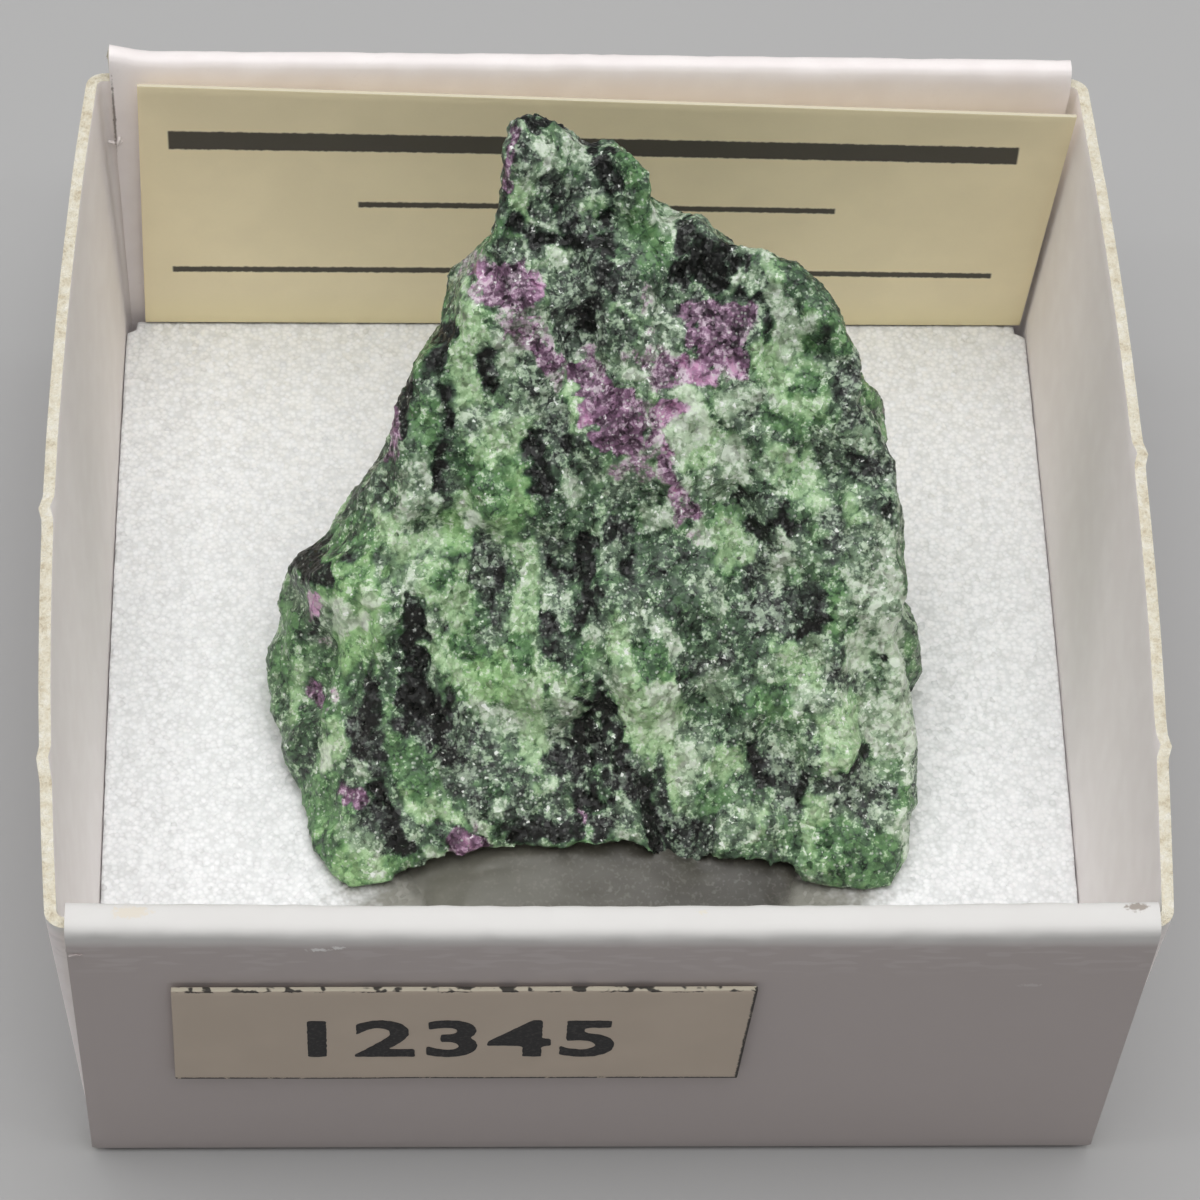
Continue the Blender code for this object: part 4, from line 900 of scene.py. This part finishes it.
def buildStone():
    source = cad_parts["stone"]
    piece = bpy.data.objects.new("roughStone", source.data.copy())
    bpy.context.scene.collection.objects.link(piece)
    begin(piece)
    editAll()
    bpy.ops.mesh.remove_doubles(threshold=0.0001 * mm)
    bpy.ops.object.mode_set(mode="OBJECT")
    applyModifier(piece, "REMESH", mode="VOXEL", voxel_size=stone["voxel"] * mm)
    applyModifier(piece, "SMOOTH", factor=0.5, iterations=stone["soften"])
    bpy.ops.object.mode_set(mode="EDIT")
    front = Vector(camera["back"])                       # the broken face looks this way
    pick("faces", lambda f: f.normal.dot(front) > stone["fineSide"])
    bpy.ops.mesh.subdivide(number_cuts=1)
    bpy.ops.object.mode_set(mode="OBJECT")
    print("stone skin:", len(piece.data.polygons), "faces")

    mesh = piece.data
    points = readPoints(mesh) / mm
    normals = readPoints(mesh, "normal")
    u, v, w = facePlaces(*points.T)
    fields = mineralFields(u, v, w)
    free = np.clip((points[:, 2] - stone["foot"]) / stone["hold"], 0, 1)
    points += normals * (skinRise(u, v, w, fields) * free)[:, None]
    seenU, seenV = u + stone["seen"][0] * w, v + stone["seen"][1] * w
    for across, up, halfU, halfV, moveU, moveV in stone["nudges"]:
        away = ((seenU - across) / halfU) ** 2 + ((seenV - up) / halfV) ** 2
        share = np.exp(-1.5 * away)
        points[:, 0] += moveU * share
        points[:, 1:] += (moveV * diagonal * share)[:, None]
    points[:, 2] = np.maximum(points[:, 2], stone["foot"])
    writePoints(mesh, points)
    for name, values in fields.items():
        layer = mesh.attributes.new(name, "FLOAT", "POINT")
        layer.data.foreach_set("value", values.astype(np.float32))
    smooth(piece)
    paint(piece, stoneMaterial())
    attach(piece, "root")
    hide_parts("stone")
    triangles = sum(len(p.vertices) - 2 for p in mesh.polygons)
    print("stone:", triangles, "triangles")


# Colours of the stone by tone, for fresh and frosted green and for ruby, then of its specks
stoneColours = {
    "fresh": ((0.08, (0.006, 0.007, 0.006)), (0.22, (0.016, 0.030, 0.018)),
              (0.36, (0.048, 0.104, 0.050)), (0.53, (0.125, 0.275, 0.102)),
              (0.73, (0.330, 0.560, 0.245)), (0.95, (0.620, 0.820, 0.500))),
    "misty": ((0.08, (0.009, 0.009, 0.010)), (0.22, (0.038, 0.047, 0.041)),
              (0.36, (0.105, 0.150, 0.108)), (0.53, (0.235, 0.335, 0.220)),
              (0.73, (0.460, 0.600, 0.410)), (0.95, (0.720, 0.830, 0.670))),
    "ruby": ((0.10, (0.038, 0.023, 0.034)), (0.32, (0.112, 0.060, 0.100)),
             (0.55, (0.245, 0.132, 0.218)), (0.80, (0.480, 0.285, 0.435)),
             (1.00, (0.720, 0.520, 0.670))),
    "pink": (0.58, 0.19, 0.43), "salt": (0.50, 0.55, 0.49), "dots": (0.66, 0.72, 0.64),
    "glint": (0.93, 0.96, 0.92),
}


def stoneMaterial():
    material, place, shader = startMaterial("ruby in zoisite", Coat_Roughness=0.14, IOR=1.42)
    toneField, rubyField, pinkField, frostField = [
        place.add("Attribute", {"attribute_name": name}, out="Fac")
        for name in ("tone", "ruby", "pink", "frost")]
    grain = place.cells(2.7)
    fine = place.cells(6.2)
    haze = place.noise(2.4, detail=3, roughness=0.68)
    specks = place.noise(6.5, detail=1, roughness=0.7)

    salt = 1.3 * (haze - 0.5) + 0.30 * (grain.part(1) - 0.5) + 0.9 * (specks - 0.5)
    salt = (salt + 0.30 * (frostField - 0.5)).above(0.02, 0.34)      # pale broken grains
    # painted shade in the gaps between grains
    grainGapShade = grain.also("Distance").above(0.50, 0.72) * specks.above(0.42, 0.55)
    lit = toneField.above(0.02, 0.50)                                # little salt on the black
    tone = toneField + 0.40 * (haze - 0.5) + 0.10 * (grain.part(0) - 0.5)
    tone = tone + 0.09 * (fine.part(0) - 0.5) + (0.16 + 0.20 * lit) * salt - 0.14 * grainGapShade - 0.03
    mist = frostField.above(0.10, 0.95)
    mist = mist.maths("MAXIMUM", mist, 0.75 * salt)
    greens = mist.blend(tone.ramp(stoneColours["fresh"]), tone.ramp(stoneColours["misty"]))
    rubies = 0.28 * fine.part(2) + 0.24 * grain.part(2) + 1.1 * (haze - 0.5) + 0.32 * salt
    rubies = (rubies + 0.50 * pinkField + 0.13).ramp(stoneColours["ruby"])
    bright = pinkField.above(0.55, 0.90) * haze.above(0.40, 0.58)
    rubies = (0.6 * bright).blend(rubies, stoneColours["pink"])
    isRuby = rubyField + 0.9 * (haze - 0.5) + 0.30 * (fine.part(0) - 0.5)
    colour = isRuby.above(0.22, 0.74).blend(greens, rubies)
    colour = ((0.12 + 0.24 * lit) * salt).blend(colour, stoneColours["salt"])
    dots = fine.also("Distance").fade(0.12, 0.50)
    dots = dots * (fine.part(1) + 0.20 * frostField).above(0.78, 1.08)
    colour = ((0.25 + 0.50 * lit) * dots).blend(colour, stoneColours["dots"])
    glint = fine.part(2).above(0.94, 0.97) * salt.above(0.20, 0.60)
    colour = (0.7 * glint).blend(colour, stoneColours["glint"])
    plug(shader, Base_Color=colour, Normal=tilted((grain, 0.7), (fine, 0.8)),
         Coat_Weight=0.03 + 0.45 * tone.above(0.2, 0.9), Roughness=0.22 + 0.4 * fine.part(1))
    return material


# The hardened glue under the arch of the stone.

glue = {
    "centre": (0.4, -6.6, 3.65), "half": (9.4, 6.0, 1.3), "square": 8, "grain": 0.16,
    "thinRim": 1.8, "loose": 0.4,                        # thin at its rim, fixed at the foot
    "inset": 0.97, "lobes": ((0.015, 3, 0.6), (0.010, 7, 0.0)),
    "swell": (0.16, 2.6), "rough": (0.03, 0.8),          # amount and size
    "dip": (3.7, 1.2, 0.55),                             # place, half width and depth
    # the colours are painted shade of the stone on the glue, light at the left and dark at the right
    "colours": ((0.0, (0.325, 0.322, 0.265)), (0.35, (0.195, 0.186, 0.149)),
                (0.65, (0.140, 0.131, 0.107)), (1.0, (0.110, 0.104, 0.088))),
    "smear": (0.26, 0.250, 0.210), "dust": (0.42, 0.40, 0.35), "bubble": (0.42, 0.40, 0.36),
}


def buildGlue():
    begin()
    bpy.ops.mesh.primitive_uv_sphere_add(segments=64, ring_count=32, radius=1)
    piece = bpy.context.object
    piece.name = piece.data.name = "hardGlue"
    piece.location = [c * mm for c in glue["centre"]]
    piece.scale = [h * mm for h in glue["half"]]
    bpy.ops.object.transform_apply()
    foot = glue["centre"][2]
    editAll()
    bpy.ops.mesh.bisect(plane_co=(0, 0, foot * mm), plane_no=(0, 0, 1), use_fill=True,
                        clear_inner=True)
    bpy.ops.object.mode_set(mode="OBJECT")
    applyModifier(piece, "REMESH", mode="VOXEL", voxel_size=glue["grain"] * mm)

    def flow(x, y, z):
        free = np.clip((z - foot) / glue["loose"], 0, 1)
        around = np.arctan2(y - glue["centre"][1], x - glue["centre"][0])
        cosine, sine = np.abs(np.cos(around)), np.abs(np.sin(around))
        square = glue["square"]
        rim = (cosine ** square + sine ** square) ** (-1 / square)      # a rounded square
        rim = rim * (glue["inset"] + sum(amount * np.sin(count * around + turn)
                                         for amount, count, turn in glue["lobes"]))
        low = np.clip((z - foot) / glue["half"][2], 0, 1)
        z = foot + glue["half"][2] * low ** glue["thinRim"]
        rise = glue["swell"][0] * waves(x, y, z, glue["swell"][1], 7.0)
        rise = rise + glue["rough"][0] * waves(x, y, z, glue["rough"][1], 8.0)
        where, width, dip = glue["dip"]
        rise = rise - dip * low * np.exp(-((x - where) / width) ** 2)
        x = glue["centre"][0] + (x - glue["centre"][0]) * rim
        y = glue["centre"][1] + (y - glue["centre"][1]) * rim
        return x, y, z + free * rise

    reshape(piece, flow)
    smooth(piece)
    paint(piece, glueMaterial())
    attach(piece, "root")
    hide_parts("glue")
    print("glue:", len(piece.data.polygons), "faces")


def glueMaterial():
    material, place, shader = startMaterial("clear glue", IOR=1.40, Transmission_Weight=0.6,
                                            Coat_Weight=0.12, Coat_Roughness=0.12)
    cloud = place.noise(0.7, detail=3, roughness=0.6)
    smear = place.vector("MULTIPLY", (0.4, 1.0, 1.0)).noise(1.0, detail=1, roughness=0.5)
    bubbles = place.cells(1.1)
    across = place.part(0) + 4 * (cloud - 0.5)                       # painted shade of the stone, darker to the right
    colour = across.above(-8.0, 9.0).ramp(glue["colours"])
    colour = (0.35 * smear.above(0.42, 0.70)).blend(colour, glue["smear"])
    dust = place.noise(5.0, detail=1, roughness=0.7)
    colour = (0.40 * dust.above(0.50, 0.75)).blend(colour, glue["dust"])
    bubble = bubbles.also("Distance").fade(0.05, 0.13) * bubbles.part(0).above(0.6, 0.7)
    colour = (0.6 * bubble).blend(colour, glue["bubble"])
    height = place.part(2) + 0.25 * (cloud - 0.5)
    plug(shader, Base_Color=colour, Roughness=0.25 + 0.25 * cloud,
         Alpha=height.above(3.66, 4.0), Normal=bump(smear, 0.2))
    return material


# The name card stands on the foam against the back wall. Its paper and its ink are made as those of
# the number label, whose paper is darker as painted shade.

papers = {"dull": 0.93, "cutEdge": (0.62, 0.58, 0.46), "ink": (0.018, 0.017, 0.018)}
nameCard = {
    "footLeft": (-18.6, 18.45, 3.7), "footRight": (19.2, 18.45, 3.7),
    "topLeft": (-18.35, 18.95, 18.5), "topRight": (20.05, 18.1, 17.9),
    "columns": 64, "rows": 28, "thick": 0.17, "edge": 0.04, "sag": 0.10,
    "paper": (0.985, 0.865, 0.58), "foot": (0.93, 0.82, 0.48),
    # plain ruled lines: height, half width, ends
    "rules": ((15.3, 0.55, -17.2, 17.9), (11.4, 0.17, -9.4, 10.6), (7.2, 0.17, -17.3, 17.6)),
}


def buildNameCard():
    piece = addGrid("nameCard", nameCard["columns"], nameCard["rows"], (0, 0), (1, 1))
    corners = {key: np.array(nameCard[key]) for key in
               ("footLeft", "footRight", "topLeft", "topRight")}

    def stand(x, y, z):
        low = np.outer(1 - x, corners["footLeft"]) + np.outer(x, corners["footRight"])
        high = np.outer(1 - x, corners["topLeft"]) + np.outer(x, corners["topRight"])
        points = low * (1 - y)[:, None] + high * y[:, None]
        bend = nameCard["sag"] * np.sin(math.pi * x) * np.sin(math.pi * y)
        return points[:, 0], points[:, 1] + bend, points[:, 2]

    reshape(piece, stand)
    paint(piece, creamMaterial("name card", nameInk, nameCard["paper"]))
    thicken(piece, nameCard["thick"], nameCard["edge"])
    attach(piece, "root")
    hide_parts("name_label")
    print("name card:", len(piece.data.polygons), "faces")


def nameInk(place):  # on the front side only
    rough = place.noise(4.5, detail=3) - 0.5
    across = place.part(0)
    height = place.part(2) + 0.12 * rough
    ink = 0
    for z, half, left, right in nameCard["rules"]:
        ink = ink + height.within(z - half, z + half, 0.05) * across.within(left, right, 0.05)
    front = place.add("NewGeometry", out="Normal").part(1)
    return ink * front.fade(-0.6, -0.4)


def numberInk(place):  # what is left of a printed border along the cut edges
    rough = place.noise(2.6, detail=4, roughness=0.7)
    fine = place.noise(9.0, detail=2)
    across, height = place.part(0), place.part(2)
    low, high, right = numberCard["low"], numberCard["high"], numberCard["footEnds"][1]
    lean = (numberCard["topEnds"][1] - right) / (high - low)
    slope = across - (right + (height - low) * lean)
    dashes = place.vector("MULTIPLY", (0.8, 1.0, 2.0)).noise(1.9, detail=2)
    top = (height + 0.16 * (fine - 0.5)).above(high - 0.13, high - 0.09)
    top = top * dashes.above(0.52, 0.58)
    foot = (height + 0.10 * (fine - 0.5)).fade(low + 0.10, low + 0.16)
    foot = foot * rough.above(0.36, 0.42)
    side = (slope + 0.12 * (fine - 0.5)).above(-0.14, -0.08) * rough.above(0.34, 0.40)
    return top.maths("MAXIMUM", top, foot.maths("MAXIMUM", foot, side))


def creamMaterial(name, inkOf, paper):
    material, place, shader = startMaterial(name, IOR=1.4)
    tint = place.noise(0.35, detail=2)
    fibre = place.noise(6.0, detail=2, roughness=0.7)
    duller = tuple(papers["dull"] * c for c in paper)
    colour = (0.6 * tint.above(0.35, 0.7) + 0.4 * fibre).blend(duller, paper)
    if name == "name card":
        low = place.part(2).fade(3.8, 6.0, top=0.5)
        colour = low.blend(colour, nameCard["foot"])
    upward = place.add("NewGeometry", out="Normal").part(2).above(0.5, 0.9)
    colour = (0.8 * upward).blend(colour, papers["cutEdge"])
    colour = (0.93 * inkOf(place)).blend(colour, papers["ink"])
    plug(shader, Base_Color=colour, Roughness=0.55 + 0.2 * fibre)
    return material


# The number label on the front wall, with plain digits.

numberCard = {
    "low": 7.0, "high": 14.2, "topEnds": (-16.0, 5.6), "footEnds": (-16.1, 5.25),
    "columns": 48, "rows": 18, "proud": 0.32, "wavy": (0.02, 3.0), "thick": 0.20, "edge": 0.04,
    # the label's paper is darker than the name card's, as painted shade on the front wall
    "paper": (0.630, 0.532, 0.435),
    "digits": "12345", "middle": (-5.3, 10.35), "width": 11.5, "height": 3.0,
    "bold": 0.028, "space": 1.10, "ink": 0.03,           # stroke, spacing, height of the print
    "grain": 0.02, "rough": (0.03, 0.22),
    "black": (0.020, 0.019, 0.020), "worn": (0.055, 0.050, 0.048),
}


def buildNumberCard():
    piece = addGrid("numberCard", numberCard["columns"], numberCard["rows"], (0, 0), (1, 1))

    def stick(x, y, z):
        up = numberCard["low"] + y * (numberCard["high"] - numberCard["low"])
        left = numberCard["footEnds"][0] * (1 - y) + numberCard["topEnds"][0] * y
        right = numberCard["footEnds"][1] * (1 - y) + numberCard["topEnds"][1] * y
        across = left + (right - left) * x
        amount, size = numberCard["wavy"]
        lift = numberCard["proud"] + amount * waves(across, up, up * 0, size)
        return across, -(frontFace(up, tray["frontTop"]) + lift), up

    reshape(piece, stick)
    paint(piece, creamMaterial("number label", numberInk, numberCard["paper"]))
    thicken(piece, numberCard["thick"], numberCard["edge"])
    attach(piece, "root")
    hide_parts("number_label")
    buildDigits()
    print("number label:", len(piece.data.polygons), "faces")


def buildDigits():
    begin()
    bpy.ops.object.text_add(location=(0, 0, 0))
    digits = bpy.context.object
    digits.name = "printedDigits"
    text = digits.data
    text.body = numberCard["digits"]
    text.align_x = "CENTER"
    text.align_y = "CENTER"
    text.offset = numberCard["bold"]
    text.space_character = numberCard["space"]
    text.resolution_u = 10
    text.extrude = 0.5
    bpy.ops.object.convert(target="MESH")
    digits = bpy.context.object
    stretch = (numberCard["width"] / digits.dimensions.x,
               numberCard["height"] / digits.dimensions.y)
    applyModifier(digits, "REMESH", mode="VOXEL", voxel_size=numberCard["grain"])
    centre = sum((Vector(corner) for corner in digits.bound_box), Vector()) / 8

    def printed(x, y, z):
        x = (x * mm - centre.x) * stretch[0]
        y = (y * mm - centre.y) * stretch[1]
        amount, size = numberCard["rough"]
        across = numberCard["middle"][0] + x + amount * waves(x, y, z * 0, size, 4.0)
        up = numberCard["middle"][1] + y + amount * waves(x, y, z * 0, size, 14.0)
        depth = np.clip(z * mm, -0.5, 0.5) * numberCard["ink"]
        return across, -(frontFace(up, tray["frontTop"]) + numberCard["proud"] + depth), up

    reshape(digits, printed)
    begin(digits)
    editAll()
    bpy.ops.mesh.normals_make_consistent(inside=False)
    bpy.ops.object.mode_set(mode="OBJECT")
    material, place, shader = startMaterial("black print", Roughness=0.7)
    wear = place.noise(8.0, detail=3)
    plug(shader, Base_Color=wear.above(0.45, 0.75).blend(numberCard["black"], numberCard["worn"]))
    paint(digits, material)
    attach(digits, "root")
    print("digits:", len(digits.data.polygons), "faces")


# The view, the light and the floor.

camera = {
    "location": (-7.57, -113.05, 170.12), "lens": 147.13,
    "right": (0.99918, -0.02178, 0.03416), "up": (-0.00181, 0.81828, 0.57482),
    "back": (-0.04047, -0.57441, 0.81757), "sensor": 36, "clip": (0.01, 5),
}

# Square lamps that face the box: place and size in mm, watts, colour
lights = {
    "overhead": ((0, -10, 330), 280, 0.325, (1.0, 0.995, 0.99)),
    "overBack": ((0, 60, 330), 260, 0.17, (1.0, 0.995, 0.99)),
    "overFront": ((0, -80, 330), 160, 0.08, (1.0, 0.995, 0.99)),
    "leftSide": ((-300, 30, 160), 200, 0.14, (1.0, 0.99, 0.98)),
    "rightSide": ((300, 30, 160), 200, 0.14, (1.0, 0.99, 0.98)),
    "glintLeft": ((-110, -60, 300), 22, 0.03, (1.0, 1.0, 1.0)),
    "glintFront": ((30, -110, 310), 22, 0.02, (1.0, 1.0, 1.0)),
    "glintRight": ((150, -100, 280), 22, 0.03, (1.0, 1.0, 1.0)),
}
sky = {"low": 0.06, "high": 0.57, "dark": 0.40, "bright": 0.70}  # strengths, heights between
ground = {"half": 1500, "below": 0.02, "grey": (0.45, 0.45, 0.45)}
aim = (0, 0, 8)  # mm, where the lamps point


def buildStudio():
    view = bpy.data.objects.new("camera", bpy.data.cameras.new("camera"))
    bpy.context.scene.collection.objects.link(view)
    axes = Matrix([camera["right"], camera["up"], camera["back"]]).transposed().to_4x4()
    view.matrix_world = Matrix.Translation(Vector(camera["location"]) * mm) @ axes
    view.data.lens = camera["lens"]
    view.data.sensor_width = camera["sensor"]
    view.data.clip_start, view.data.clip_end = camera["clip"]
    bpy.context.scene.camera = view

    world = bpy.data.worlds.new("studio")
    world.use_nodes = True
    world.node_tree.nodes["Background"].inputs["Color"].default_value = (1, 1, 1, 1)
    height = Wire(world.node_tree).add("TexCoord", out="Generated").part(2)
    strength = sky["low"] + (sky["high"] - sky["low"]) * height.above(sky["dark"], sky["bright"])
    plug(world.node_tree.nodes["Background"], Strength=strength)
    bpy.context.scene.world = world

    for name, (place, size, power, colour) in lights.items():
        lamp = bpy.data.lights.new(name, "AREA")
        lamp.shape = "SQUARE"
        lamp.size = size * mm
        lamp.energy = power
        lamp.color = colour
        holder = bpy.data.objects.new(name, lamp)
        bpy.context.scene.collection.objects.link(holder)
        holder.location = Vector(place) * mm
        away = Vector(aim) * mm - holder.location
        holder.rotation_euler = away.to_track_quat("-Z", "Y").to_euler()

    half = ground["half"]
    floor = addGrid("floor", 2, 2, (-half, -half), (half, half))
    reshape(floor, lambda x, y, z: (x, y, z - ground["below"]))
    material, place, shader = startMaterial("plain floor", Roughness=0.8, Specular_IOR_Level=0.0)
    shader.inputs["Base Color"].default_value = (*ground["grey"], 1)
    paint(floor, material)
    bpy.context.scene.view_settings.view_transform = "Standard"
    print("studio ready")


buildTray()
buildTears()
buildFoam()
buildStone()
buildGlue()
buildNameCard()
buildNumberCard()
buildStudio()
